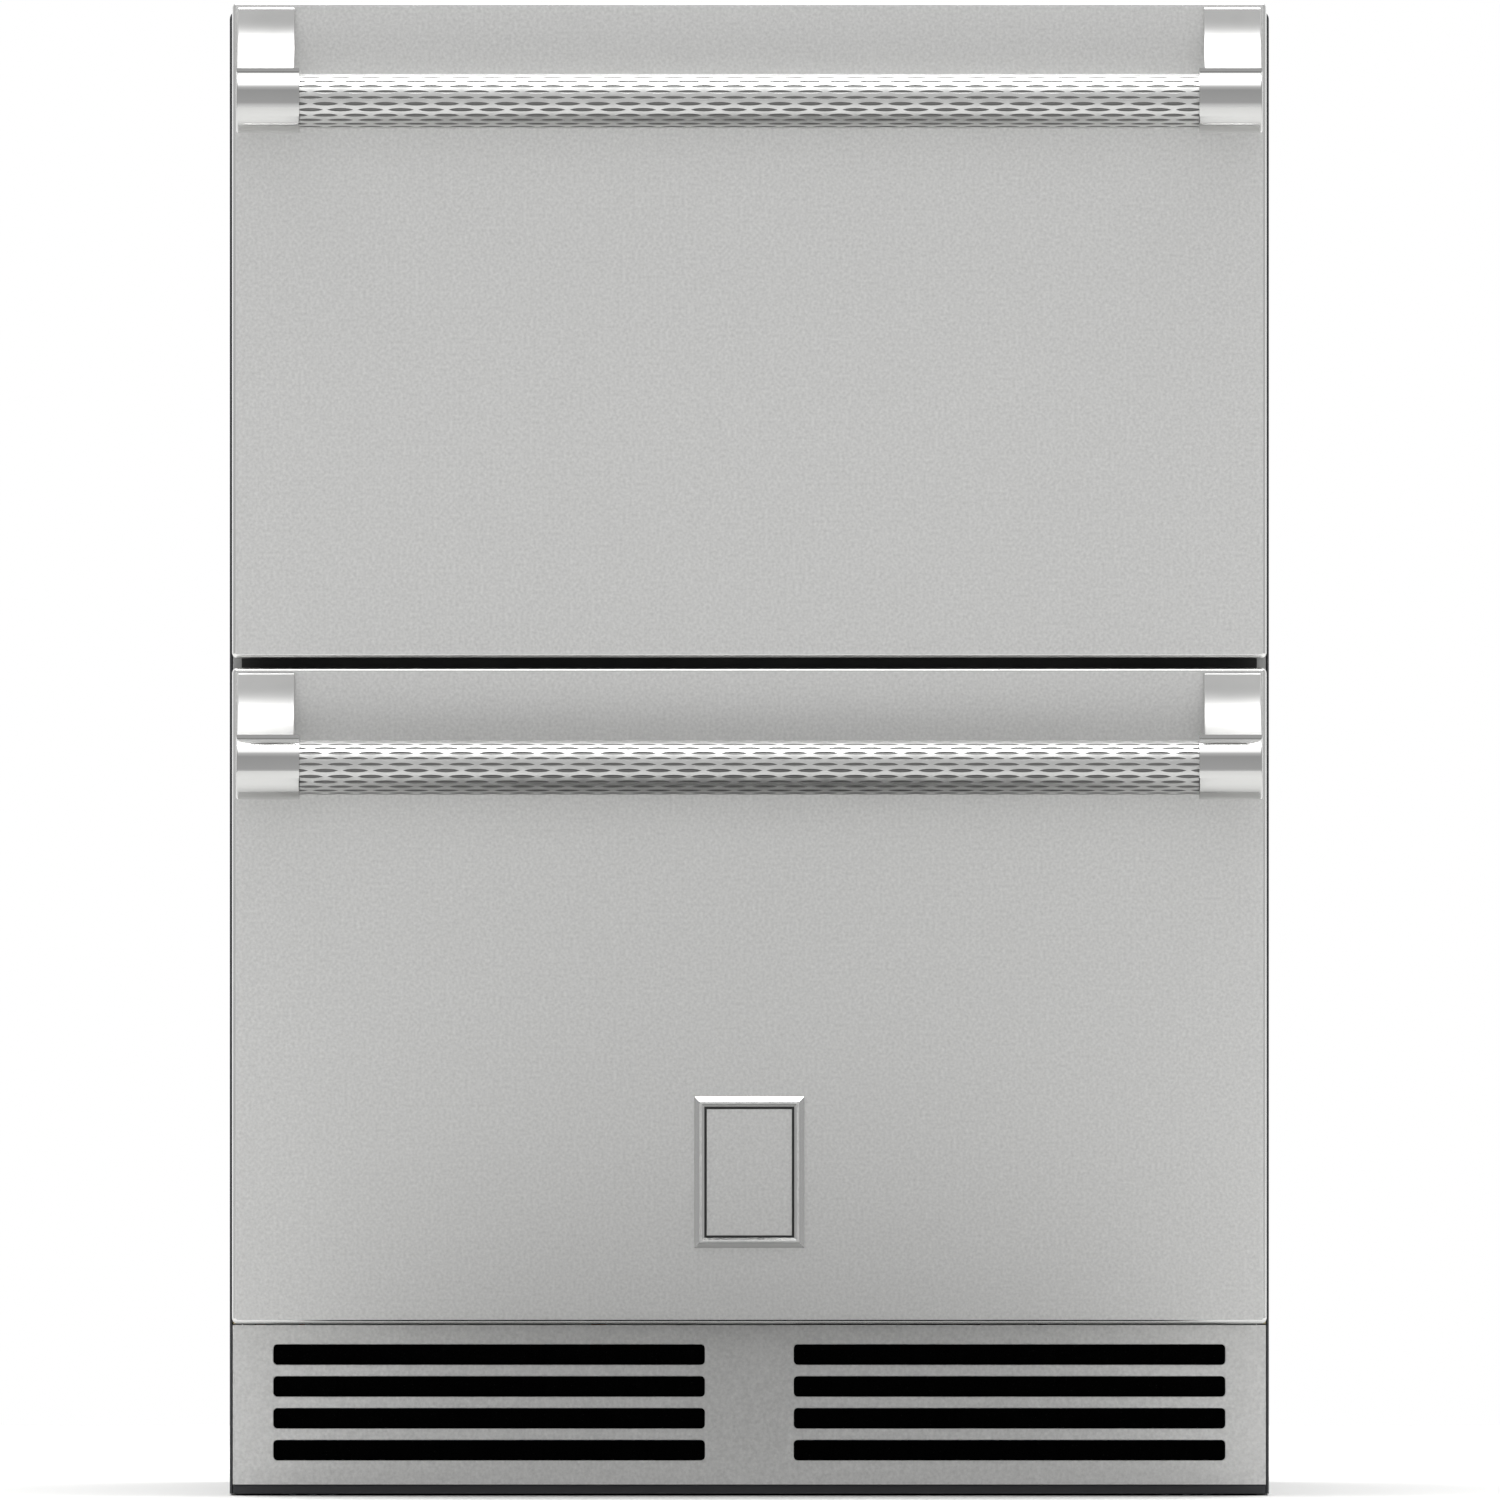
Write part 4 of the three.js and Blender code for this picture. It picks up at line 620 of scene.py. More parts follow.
def handle_bracket(drawer):
    """Cast bracket: a round cap over the bar's end, swept up and back into a thin plate on the front."""
    node = f"{drawer}_handle_bracket_right"
    low, high = box_of(node)
    cap, grip_length, grip_radius = 18.5, 15.3, 16.05
    arm_width, plate, lip, arch = 33.4, 3.5, 5, 22
    top_edge, arm_edge, cap_edge, grip_edge = 1.4, 0.9, 1.2, 0.4
    setback, gap = 0.3, 0.2  # how far the arm's side and the ledge's ends lie inside the cap's flat ends
    bar_y, bar_z = low.y + cap, low.z + cap
    sweep_y, sweep_z = high.y - plate - bar_y, high.z - lip - bar_z - cap
    arch_y = high.y - bar_y - cap
    side = high.x - setback - arm_width
    outline = [(side, high.y, high.z), (side, high.y - plate, high.z)]
    outline += [(side, bar_y + c * sweep_y, high.z - lip - s * sweep_z) for s, c in quarter(14)]
    outline += [(side, bar_y, bar_z)]
    outline += [(side, high.y - c * arch_y, bar_z + s * arch) for s, c in quarter(8)]
    arm = traced(f"{drawer}_bracket_right", outline)
    push(x=arm_width)
    face_outwards(arm)
    front, top = high.y - NEAR, high.z - NEAR
    mark(arm, "EDGE", lambda place, way: abs(way.x) > ALONG and place.z > top and place.y < front)
    ease(top_edge, 4)
    ease_outline(arm, running("X"), arm_edge)
    round_cap = start_rod("cap", ((low.x + high.x) / 2, bar_y, bar_z), cap, high.x - low.x, "X", 72)
    ease_outline(round_cap, facing("+X"), cap_edge, 4)
    mark(round_cap, "FACE", facing("-X"))
    inset(cap - grip_radius)
    push(x=grip_length)
    mark(round_cap, "EDGE", lambda place, way: place.x < low.x + TOUCH)
    ease(grip_edge, 2)
    ledge = traced("ledge", [(low.x + gap, bar_y - y, bar_z + z) for y, z in LEDGE])
    push(x=high.x - low.x - 2 * gap)
    face_outwards(ledge)
    cut(arm, [round_cap, ledge], "UNION")
    left = copy_of(arm, f"{drawer}_bracket_left", mirrored=True)
    arm_start = bar_z + cap + 1
    for bracket, stands_for in ((arm, node), (left, node.replace("right", "left"))):
        fit(bracket, polished_steel, node, [stands_for])
        refinish(bracket, buffed_steel, lambda place, way: place.z > arm_start)


# ---- badge plate


def badge_plate():
    """Thick plate with sloping edges and a shallow field, left bare, with a printed line round the field."""
    node = "badge_plate"
    low, high = box_of(node)
    centre, size = (low + high) / 2, high - low
    slope, rim, depth, wall, edge = 3, 1.4, 1.6, 1.6, 0.25
    line_width, ink, lift = 1.25, 0.15, 0.1
    plate = start_block("badge_frame", low, high)
    mark(plate, "FACE", facing("-Y"))
    resize(1 - 2 * slope / size.x, 1, 1 - 2 * slope / size.z, (centre.x, low.y, centre.z))
    inset(rim)
    push(y=depth)
    inner_x, inner_z = (size[i] - 2 * (slope + rim) for i in (0, 2))
    resize(1 - 2 * wall / inner_x, 1, 1 - 2 * wall / inner_z, (centre.x, low.y + depth, centre.z))
    mark(plate, "EDGE", lambda place, way: place.y < high.y - NEAR)
    ease(edge, 2)
    fit(plate, beaded_steel, node, [node])
    sideways, flat = 0.3, 0.95
    refinish(plate, polished_steel, lambda place, way: sideways < abs(way.y) < flat)
    reach = Vector((inner_x / 2 - wall, lift, inner_z / 2 - wall))
    middle = Vector((centre.x, low.y + depth - lift, centre.z))
    line = start_block("badge_printed_line", middle - reach, middle + reach)
    mark(line, "FACE", facing("-Y"))
    inset(line_width)
    bpy.ops.mesh.delete(type="FACE")
    mark(line, "FACE", lambda place, way: way.y > -ALONG)
    bpy.ops.mesh.delete(type="FACE")
    modify(line, "SOLIDIFY", thickness=ink * MM, offset=-1)
    fit(line, black_ink, node)


# ---- vent grille


def vent_grille():
    """Folded stainless toe grille with eight punched slots whose lips are rolled in."""
    node = "vent_grille"
    low, high = box_of(node)
    sheet, slot_corner, lip = 1.5, 2.3, 0.5
    slot_x, slot_length, slot_height, lowest, pitch = 151.7, 251.5, 11.8, 26.5, 18.6
    inner, lip_end, lip_back, foot_gap, top_gap = 1.4, 1, 15.3, 1, 2
    face = start_block("grille_face", low, (high.x, low.y + sheet, high.z))
    reach = Vector((slot_length / 2, THROUGH, slot_height / 2))
    middles = [Vector((side * slot_x, low.y, lowest + row * pitch)) for side in (-1, 1) for row in range(4)]
    cut(face, [rounded_block("slot", middle - reach, middle + reach, "Y", slot_corner) for middle in middles])

    def at_slot_lip(place, way):
        row = round((place.z - lowest) / pitch)
        return (
            abs(place.y - low.y) < TOUCH
            and abs(abs(place.x) - slot_x) < slot_length / 2 + NEAR
            and abs(place.z - lowest - row * pitch) < slot_height / 2 + NEAR
        )

    mark(face, "EDGE", at_slot_lip)
    ease(lip, 3)
    front = low.y + inner
    lip_start = (low.x + lip_end, front, high.z - sheet)
    flanges = [start_block("lip", lip_start, (high.x - lip_end, high.y - lip_back, high.z))]
    for side in (-1, 1):
        left, right = sorted((side * high.x, side * (high.x - sheet)))
        flanges.append(start_block("return", (left, front, low.z + foot_gap), (right, high.y, high.z - top_gap)))
    cut(face, flanges, "UNION")
    fit(face, beaded_steel, node, [node])


def dust_filter_shade_sheet():
    """Sheet of filter foam behind the grille, quilted by the wires that hold it, and black as painted shade behind the
    slots.
    """
    low, high = box_of("vent_grille")
    side, end, thickness, crease = 11, 1.5, 4, 0.8
    front = low.y + 3.5
    wires = range(-240, 241, 60)
    sheet = start_block(
        "dust_filter_shade_sheet", (low.x + side, front, low.z + end), (high.x - side, front + thickness, high.z - end)
    )
    score(sheet, wires)

    def at_wire(place, way):
        return place.y < front + NEAR and any(abs(place.x - x) < NEAR for x in wires)

    mark(sheet, "EDGE", lambda place, way: abs(way.z) > ALONG and at_wire(place, way))
    ease(1.2, 2)
    mark(sheet, "VERT", at_wire)
    move(y=crease)
    fit(sheet, foam_filter_shade, "vent_grille")


# ---- cabinet outside


def cabinet_wrap():
    """One folded sheet for the sides and the top, open at the front, back and bottom."""
    node = "cabinet_wrap"
    low, high = box_of(node)
    bend, sheet, edge = 5, 1.5, 0.4
    wrap = start_block("cabinet_shell", low, high)
    mark(wrap, "EDGE", lambda place, way: abs(way.y) > ALONG and place.z > high.z - NEAR)
    ease(bend, 6)
    mark(wrap, "FACE", lambda place, way: abs(way.y) > ALONG or way.z < -ALONG)
    bpy.ops.mesh.delete(type="FACE")
    modify(wrap, "SOLIDIFY", thickness=sheet * MM, offset=-1)
    mark(wrap, "EDGE", lambda place, way: place.y < low.y + TOUCH and abs(way.y) < NEAR)
    ease(edge, 2)
    fit(wrap, powder_coat, node, [node])


# ---- screws


def screws(name, like, places, way, radius=3.6):
    """Cross-recessed pan-head screws copied from one, whose heads stand out along way from the given places."""
    height, sunk = 0.6 * radius, 0.2
    head = start_rod("screw", (0, 0, height / 2 - sunk), radius, height + 2 * sunk, sides=24)
    ease_outline(head, facing("+Z"), 0.4 * radius, 4)
    long, wide, floor = 0.56 * radius, 0.13 * radius, 0.4 * height
    cut(head, [start_block("recess", (-x, -y, floor), (x, y, radius)) for x, y in ((long, wide), (wide, long))])
    turn(head, Vector((0, 0, 1)).rotation_difference(Vector(way)).to_matrix())
    heads = [copy_of(head, name, place) for place in places]
    bpy.data.objects.remove(head)
    fit(join(name, heads), zinc_plate, like)


# ---- drawer inside

STEP = (70.75, 275)  # where the lower bin's shelf starts, and the height of its underside
PLUG = {"upper": (522.5, 808.9), "lower": (153, 448.5)}  # lowest and highest points of each liner panel's plug
SLOT_CORNER = 3.9  # just under half the width of an 8 mm slot
BEAD_HALF, BEAD_CORNER = 5, 4.9  # half the width of a bead, and its corners' radius, just under it


def floor_ribs(front, back, floor):
    """Five low rounded beads along a bin's floor."""
    buried, proud, crown = 0.8, 1.8, 1.6
    return [
        cushion(
            "rib", (x - BEAD_HALF, front, floor - buried), (x + BEAD_HALF, back, floor + proud), "+Z",
            BEAD_CORNER, crown, edge_segments=4
        )
        for x in (-180, -90, 0, 90, 180)
    ]


def bin_pan(drawer):
    """Pressed steel pan with a rolled rim, long vent slots high in its sides and beads along its floor."""
    node = f"{drawer}_bin"
    low, high = box_of(node)
    reach, sheet, drop, roll, corner, fold = 4, 1.5, 9, 0.9, 8, 2.5
    past_corner, sharp, weld = 0.5, 50, 0.02
    side, back, top = high.x - reach, high.y - reach, high.z - sheet
    stepped = drawer == "lower"
    base = STEP[1] if stepped else low.z
    pan = cushion(f"{drawer}_bin_pan", (-side, low.y, base), (side, back, top), "-Z", corner, fold)
    if stepped:
        cut(pan, [cushion("well", (-side, low.y, low.z), (side, STEP[0], top), "-Z", corner, fold)], "UNION")
        merge_points(pan)
        bpy.ops.object.mode_set(mode="EDIT")
        bpy.ops.mesh.dissolve_limited(angle_limit=math.radians(1))
    mark(pan, "FACE", lambda place, way: way.z > ALONG and place.z > top - NEAR)
    bpy.ops.mesh.delete(type="FACE")
    rim_start = low.y + corner + past_corner
    mark(pan, "EDGE", lambda place, way: place.z > top - TOUCH and place.y > rim_start)
    push()
    resize((high.x - sheet) / side, (high.y - sheet - low.y) / (back - low.y), 1, (0, low.y, top))
    push(z=sheet - drop)
    modify(pan, "BEVEL", width=roll * MM, segments=3, limit_method="ANGLE", angle_limit=math.radians(sharp))
    merge_points(pan, weld)
    modify(pan, "SOLIDIFY", thickness=sheet * MM, offset=-1)
    margin, web, slot_low, slot_high = 30, 16, 40, 32
    span = (back - low.y - 2 * margin) / 2
    half = (span - web) / 2
    slots = []
    for index in range(2):
        middle = low.y + margin + (index + 0.5) * span
        start = (low.x - THROUGH, middle - half, high.z - slot_low)
        end = (high.x + THROUGH, middle + half, high.z - slot_high)
        slots.append(rounded_block("slot", start, end, "X", SLOT_CORNER))
    cut(pan, slots)
    front_gap, back_gap, step_gap = 35, 35, 30
    if stepped:
        ribs = floor_ribs(low.y + front_gap, STEP[0] - step_gap, low.z + sheet)
        ribs += floor_ribs(STEP[0] + step_gap, back - step_gap, base + sheet)
    else:
        ribs = floor_ribs(low.y + front_gap, back - back_gap, low.z + sheet)
    cut(pan, ribs, "UNION")
    fit(pan, brushed_steel, node, [node])
    places = [(x, low.y + sheet, high.z - down) for x in (-200, -70, 70, 200) for down in (70, 200)]
    screws(f"{drawer}_bin_screws", node, places, (0, 1, 0))


def liner_panel(drawer):
    """Vacuum-formed back of a drawer front: a gasket groove round a raised plug with a shallow field."""
    node = f"{drawer}_inner_panel"
    low, high = box_of(node)
    (bottom, top), side, face = PLUG[drawer], 235.9, high.y - 10
    border, groove, depth = 11.5, 4, 4
    margin, sunk, overlap = 30, 2.5, 1
    corner, outer_corner, inner_corner = 2, 6, 3
    plug_corner, plug_edge, field_corner, field_edge = 12, 4, 8, 1.5
    panel = rounded_block(f"{drawer}_liner_panel", low, (high.x, face, high.z), "Y", corner)
    outer, inner = (Vector((width, 0, width)) for width in (border, border + groove))
    start = low + outer + Vector((0, face - depth - low.y, 0))
    ring = rounded_block("ring", start, high - outer, "Y", outer_corner)
    cut(ring, [rounded_block("core", low + inner, high - inner + Vector((0, THROUGH, 0)), "Y", inner_corner)])
    cut(panel, [ring])
    start = (-side, face - overlap, bottom)
    plug = cushion("plug", start, (side, high.y, top), "+Y", plug_corner, plug_edge, 8, 5)
    start = (margin - side, high.y - sunk, bottom + margin)
    end = (side - margin, high.y + THROUGH, top - margin)
    cut(plug, [cushion("field", start, end, "-Y", field_corner, field_edge, edge_segments=4)])
    cut(panel, [plug], "UNION")
    fit(panel, white_plastic, node, [node])


# ---- feet


def levelling_feet():
    """Four feet alike: a pad with finger grips on a threaded stem."""
    low, high = box_of("foot_front_left")
    pad, pad_height, edge = (high.y - low.y) / 2, 4.4, 0.9
    grip_count, grip_radius, grip_height, grip_z = 8, 3.2, 12, 3
    grip_reach = pad + 1.6
    crest, root, pitch, overlap = 5, 4.3, 1.5, 1
    turns = math.ceil(high.z / pitch) + 1
    foot = start_rod("pad", (0, 0, pad_height / 2), pad, pad_height, sides=64)
    ease_outline(foot, running("Z"), edge)
    grips = []
    for index in range(grip_count):
        angle = index * 2 * math.pi / grip_count
        place = (grip_reach * math.cos(angle), grip_reach * math.sin(angle), grip_z)
        grips.append(start_rod("grip", place, grip_radius, grip_height, sides=20))
    cut(foot, grips)
    stem = traced("stem", [(root, 0, -pitch), (crest, 0, -pitch / 2), (root, 0, 0)], closed=False)
    modify(
        stem, "SCREW", screw_offset=pitch * MM, iterations=turns, steps=24, render_steps=24,
        use_merge_vertices=True, merge_threshold=TOUCH * MM
    )
    edit_all(stem)
    bpy.ops.mesh.remove_doubles(threshold=TOUCH * MM)
    trim("Z", pad_height - overlap, -1)
    trim("Z", high.z, 1)
    face_outwards(stem)
    cut(foot, [stem], "UNION")
    for corner in ("front_left", "front_right", "rear_left", "rear_right"):
        node = f"foot_{corner}"
        low, high = box_of(node)
        place = ((low.x + high.x) / 2, (low.y + high.y) / 2, 0)
        fit(copy_of(foot, f"levelling_{node}", place), zinc_plate, node, [node])
    bpy.data.objects.remove(foot)


# ---- fittings inside the cabinet


def light_lens():
    """Frosted lens with fine cross ribs between two plain end caps."""
    node = "interior_light"
    low, high = box_of(node)
    cap, ribs, groove, proud, overlap, edge, cap_edge = 9, 48, 0.5, 0.4, 0.2, 3, 2.6
    start, pitch = low.x + cap, (high.x - low.x - 2 * cap) / ribs
    lens = start_block("light_lens", (start, low.y, low.z), (high.x - cap, high.y, high.z))
    mark(lens, "EDGE", lambda place, way: abs(way.x) > ALONG and place.z < high.z - NEAR)
    ease(edge, 5)
    score(lens, [start + index * pitch for index in range(1, ribs)])
    mark(lens, "EDGE", lambda place, way: (
        abs(way.y) > ALONG and place.z < low.z + NEAR and round((place.x - start) / pitch) % 2 == 1
    ))
    move(z=groove)
    fit(lens, frosted_lens, node, [node])
    cap_low = (low.x, low.y - proud, low.z - proud)
    end_cap = start_block("light_cap_left", cap_low, (start + overlap, high.y + proud, high.z))
    mark(end_cap, "EDGE", lambda place, way: place.z < high.z - NEAR)
    ease(cap_edge, 4)
    other = copy_of(end_cap, "light_cap_right", mirrored=True)
    for end in (end_cap, other):
        fit(end, white_plastic, node)


# Outline of the control's wedge: distances back from its front edge and down from the ceiling.
WEDGE = ((0, 0), (0, 6), (4, 12), (34, 26), (42, 26), (72, 4), (72, 0))


def control_panel():
    """Wedge under the ceiling; its sloping face has a dark window and four sealed keys."""
    node = "temperature_control"
    low, high = box_of(node)
    wedge = traced("control_housing", [(low.x, low.y + back, high.z - down) for back, down in WEDGE])
    push(x=high.x - low.x)
    face_outwards(wedge)
    mark(wedge, "EDGE", lambda place, way: place.z < high.z - NEAR)
    ease(1.6, 4)
    fit(wedge, white_plastic, node, [node])
    (back0, down0), (back1, down1) = WEDGE[2:4]
    left = Vector((-1, 0, 0))
    run = Vector((0, back1 - back0, down0 - down1)).normalized()
    lie = Matrix((left, run, left.cross(run))).transposed()
    centre = Vector(((low.x + high.x) / 2, low.y + (back0 + back1) / 2, high.z - (down0 + down1) / 2))
    half, tall, sunk, proud, corner, edge = 22, 11, 0.6, 0.5, 2.5, 0.3
    window = cushion("control_window", (-half, -tall, -sunk), (half, tall, proud), "+Z", corner, edge, 5, 2)
    keys = []
    key, key_tip, key_height, border, ring, dish = 4, 3.7, 1.6, 1, 1.4, 0.35
    for x in (-40, -30, 30, 40):
        keys.append(start_rod("key", (x, 0, 0), key, key_height, sides=32, tip=key_tip))
        mark(keys[-1], "FACE", facing("+Z"))
        inset(border)
        inset(ring, -dish)
    for piece, material, slot in (
        (window, tinted_window, "black_plastic"), (join("control_keys", keys), grey_plastic, "grey_plastic")
    ):
        turn(piece, lie)
        shift(piece, *centre)
        fit(piece, material, node)


def cold_air_cover():
    """Moulded cover on the rear wall: a round fan mouth behind a guard of rings, and a row of outlets."""
    node = "evaporator_cover"
    low, high = box_of(node)
    fan_low, fan_high = box_of("evaporator_fan")
    fan_z = (fan_low.z + fan_high.z) / 2
    wall, corner, edge, mouth, mouth_depth, bore_depth, sides = 2.5, 12, 3, 50, 20, 40, 72
    outlets, margin, web, outlet_low, outlet_high, outlet_depth = 8, 30, 4, 26, 18, 8
    cover = cushion("cold_air_cover", low, high, "-Y", corner, edge, 6, 4)
    mark(cover, "FACE", facing("+Y"))
    bpy.ops.mesh.delete(type="FACE")
    modify(cover, "SOLIDIFY", thickness=wall * MM, offset=-1, use_even_offset=True)
    openings = [start_rod("mouth", (0, low.y, fan_z), mouth, mouth_depth, "Y", sides)]
    pitch = (high.x - low.x - 2 * margin) / outlets
    for index in range(outlets):
        middle, half = low.x + margin + (index + 0.5) * pitch, pitch / 2 - web
        start = (middle - half, low.y - THROUGH, high.z - outlet_low)
        end = (middle + half, low.y + outlet_depth, high.z - outlet_high)
        openings.append(rounded_block("outlet", start, end, "Y", SLOT_CORNER))
    cut(cover, openings)
    duct_place, duct_wall, duct_length = (0, low.y + 12, fan_z), 2.2, 23.6
    duct = start_rod("duct", duct_place, mouth + duct_wall, duct_length, "Y", sides)
    cut(duct, [start_rod("bore", duct_place, mouth - TOUCH, bore_depth, "Y", sides)])
    cut(cover, [duct], "UNION")
    fit(cover, white_plastic, node, [node])
    ring_y, ring_wire, spoke_y, spoke_wire = 1.3, 1.1, 1.9, 1.2
    guard = []
    for reach in (12, 22, 32, 42):
        bpy.ops.mesh.primitive_torus_add(
            location=mm(0, low.y + ring_y, fan_z), rotation=(math.pi / 2, 0, 0),
            major_radius=reach * MM, minor_radius=ring_wire * MM, major_segments=64, minor_segments=10
        )
        guard.append(settle("guard"))
    for index in range(4):
        spoke = start_rod("guard", (0, 0, 0), spoke_wire, 2 * mouth + 1, "X", 12)
        turn(spoke, Matrix.Rotation(index * math.pi / 4, 3, "Y"))
        shift(spoke, 0, low.y + spoke_y, fan_z)
        guard.append(spoke)
    fit(join("fan_guard", guard), white_plastic, node)
    places = [(x, low.y, z) for x in (-222, 222) for z in (low.z + 18, high.z - 40)]
    screws("cover_screws", node, places, (0, -1, 0), 3.2)


# ---- the back

REAR_SCREW = 3.4  # radius of the heads of the screws at the back


def back_sheet():
    """Galvanised rear panel stiffened by pressed beads and held by screws round its edge."""
    node = "rear_panel"
    low, high = box_of(node)
    buried, proud, bead_gap, crown = 0.4, 1.2, 60, 1.1
    beads = []
    sheet = rounded_block("rear_sheet", low, high, "Y", 2, 3)
    for x in (-180, -60, 60, 180):
        start = (x - BEAD_HALF, high.y - buried, low.z + bead_gap)
        end = (x + BEAD_HALF, high.y + proud, high.z - bead_gap)
        beads.append(cushion("bead", start, end, "+Y", BEAD_CORNER, crown))
    cut(sheet, beads, "UNION")
    fit(sheet, galvanised_steel, node, [node])
    side_gap, end_gap, edge_gap, rows = 8, 20, 9, 5
    pitch = (high.z - low.z - 2 * end_gap) / (rows - 1)
    heights = [low.z + end_gap + row * pitch for row in range(rows)]
    places = [(side * (high.x - side_gap), high.y, z) for side in (-1, 1) for z in heights]
    places += [(x, high.y, z) for x in (-150, 0, 150) for z in (low.z + edge_gap, high.z - edge_gap)]
    screws("rear_panel_screws", node, places, (0, 1, 0), REAR_SCREW)


def leaning_block(name, low, high, back):
    """A block whose upper outer edge leans back."""
    block = start_block(name, low, high)
    outer, top = high[1] - NEAR, high[2] - NEAR
    mark(block, "EDGE", lambda place, way: place.z > top and place.y > outer and abs(way.x) > ALONG)
    move(y=-back)
    leave_edit()
    return block


def louvre(x, y, z):
    """The slot of a louvre and its hood, open below, for a place on the sheet's outside."""
    half, tall = 42, 4
    low, high = (x - half, y - 2 * THROUGH, z - tall), (x + half, y + THROUGH, z + tall)
    slot = rounded_block("slot", low, high, "Y", SLOT_CORNER)
    half, sunk, foot, proud, top, lean = 43, 0.3, 2.5, 3.6, 7, 3.2
    hood = leaning_block("hood", (x - half, y - sunk, z - foot), (x + half, y + proud, z + top), lean)
    mark(hood, "EDGE", lambda place, way: place.y > y)
    ease(0.6, 3)
    mark(hood, "FACE", facing("-Z"))
    inset(0.9)  # a border on the underside, inside which the hollow is cut, keeps the cut clean
    half, sunk, foot, proud, top, lean = 41.8, 3, 4, 2.5, 6.5, 2.6
    cut(hood, [leaning_block("hollow", (x - half, y - sunk, z - foot), (x + half, y + proud, z + top), lean)])
    return slot, hood


def bay_cover():
    """Galvanised cover of the machine bay with hooded louvres, held by screws."""
    node = "rear_cover"
    low, high = box_of(node)
    sheet = rounded_block("bay_cover_sheet", low, high, "Y", 2, 3)
    louvres = [louvre(x, high.y, z) for x in (30, 150) for z in (100, 126, 152)]
    inlet_low, inlet_high = box_of("power_inlet")
    inlet_x, inlet_z, reach_x, reach_z, ear = (inlet_low.x + inlet_high.x) / 2, 62, 15.6, 11.7, 19.6
    socket_low = (inlet_x - reach_x, low.y - THROUGH, inlet_z - reach_z)
    socket = start_block("socket", socket_low, (inlet_x + reach_x, high.y + THROUGH, inlet_z + reach_z))
    cut(sheet, [slot for slot, hood in louvres] + [socket])
    cut(sheet, [hood for slot, hood in louvres], "UNION")
    fit(sheet, galvanised_steel, node, [node])
    side_gap, foot_gap, top_gap, edge_gap = 9, 14, 12, 9
    heights = (low.z + foot_gap, 115, high.z - top_gap)
    places = [(side * (high.x - side_gap), high.y, z) for side in (-1, 1) for z in heights]
    places += [(x, high.y, low.z + edge_gap) for x in (-120, 120)]
    screws("bay_cover_screws", node, places, (0, 1, 0), REAR_SCREW)
    ears = [(inlet_x + side * ear, inlet_high.y, inlet_z) for side in (-1, 1)]
    screws("inlet_screws", "power_inlet", ears, (0, 1, 0), 2.6)


# ---- pieces whose CAD shape is right


def refine(node, name):
    """Makes a piece of a copy of a CAD node, with its triangles merged into faces and its edges eased."""
    edge, flat, sharp = 0.4, 2, 40  # a size in millimetres, and two angles in degrees
    piece = frame["nodes"][node].copy()
    piece.data = piece.data.copy()
    piece.parent = None
    for key in [k for k in piece.keys() if k.startswith("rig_")]:
        del piece[key]
    piece.name = name
    bpy.context.collection.objects.link(piece)
    work_on(piece)
    if piece.data.has_custom_normals:
        bpy.ops.mesh.customdata_custom_splitnormals_clear()
    edit_all(piece)
    bpy.ops.mesh.remove_doubles(threshold=TOUCH * MM)
    bpy.ops.mesh.dissolve_limited(angle_limit=math.radians(flat))
    modify(
        piece, "BEVEL", width=edge * MM, segments=2, limit_method="ANGLE", angle_limit=math.radians(sharp),
        use_clamp_overlap=True
    )
    fit(piece, finish_of_slot[slot_of[node]], node, [node], angle=sharp)


# ---- making the pieces

for drawer in ("upper", "lower"):
    drawer_front(drawer)
    dimpled_bar(drawer)
    handle_bracket(drawer)
    bin_pan(drawer)
    liner_panel(drawer)
badge_plate()
vent_grille()
dust_filter_shade_sheet()
cabinet_wrap()
levelling_feet()
light_lens()
control_panel()
cold_air_cover()
back_sheet()
bay_cover()

done = {name for piece in bpy.data.objects for name in piece.get("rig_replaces", [])}
for node in sorted(set(frame["nodes"]) - done):
    refine(node, f"{node}_finished")

# ---- floor, light and camera; lengths in metres

# The floor is a board rolled with matt white paint, and hardly shows the roller's grain.
FLOOR_RADIUS, FLOOR_Y = 2.6, 0.3
clear_selection()
bpy.ops.mesh.primitive_circle_add(vertices=96, radius=FLOOR_RADIUS, fill_type="NGON", location=(0, FLOOR_Y, 0))
floor = settle("studio_floor")
floor.data.materials.append(
    finish("matt_white_floor", ("D6D6D5", "DCDCDB"), (0.7, 0.8), 400, [("noise", 3, 0.02)])
)

# Sine of the elevation, and the grey of the room in front there: floor, walls and a luminous ceiling.
ROOM = (
    (-1, 1.0), (-0.4, 1.15), (-0.25, 0.95), (-0.1, 0.62), (0.65, 0.55),
    (0.8, 0.85), (0.88, 1.9), (0.96, 3.2), (1, 4.5)
)
BEHIND = (1.3, 1.3, 1.3, 1)  # the room behind the refrigerator, which fades in between these headings
BEHIND_FROM, BEHIND_FULL = 0.05, 0.4

studio = bpy.data.worlds.new("studio")
bpy.context.scene.world = studio
studio.use_nodes = True
sky = studio.node_tree
sky.nodes.clear()
ray = add(sky, "ShaderNodeTexCoord").outputs["Generated"]
heading = add(sky, "ShaderNodeSeparateXYZ", {}, {"Vector": ray})
height = add(sky, "ShaderNodeMapRange", {"From Min": -1.0, "From Max": 1.0}, {"Value": heading.outputs["Z"]})
walls = add(sky, "ShaderNodeValToRGB", {}, {"Fac": height.outputs["Result"]})
stops = walls.color_ramp.elements
for index, (sine, grey) in enumerate(ROOM):
    stop = stops[index] if index < 2 else stops.new(1)
    stop.position = (sine + 1) / 2
    stop.color = (grey, grey, grey, 1)
fade = {"From Min": BEHIND_FROM, "From Max": BEHIND_FULL}
behind = add(sky, "ShaderNodeMapRange", fade, {"Value": heading.outputs["Y"]})
lighter = {"data_type": "RGBA", "blend_type": "LIGHTEN"}
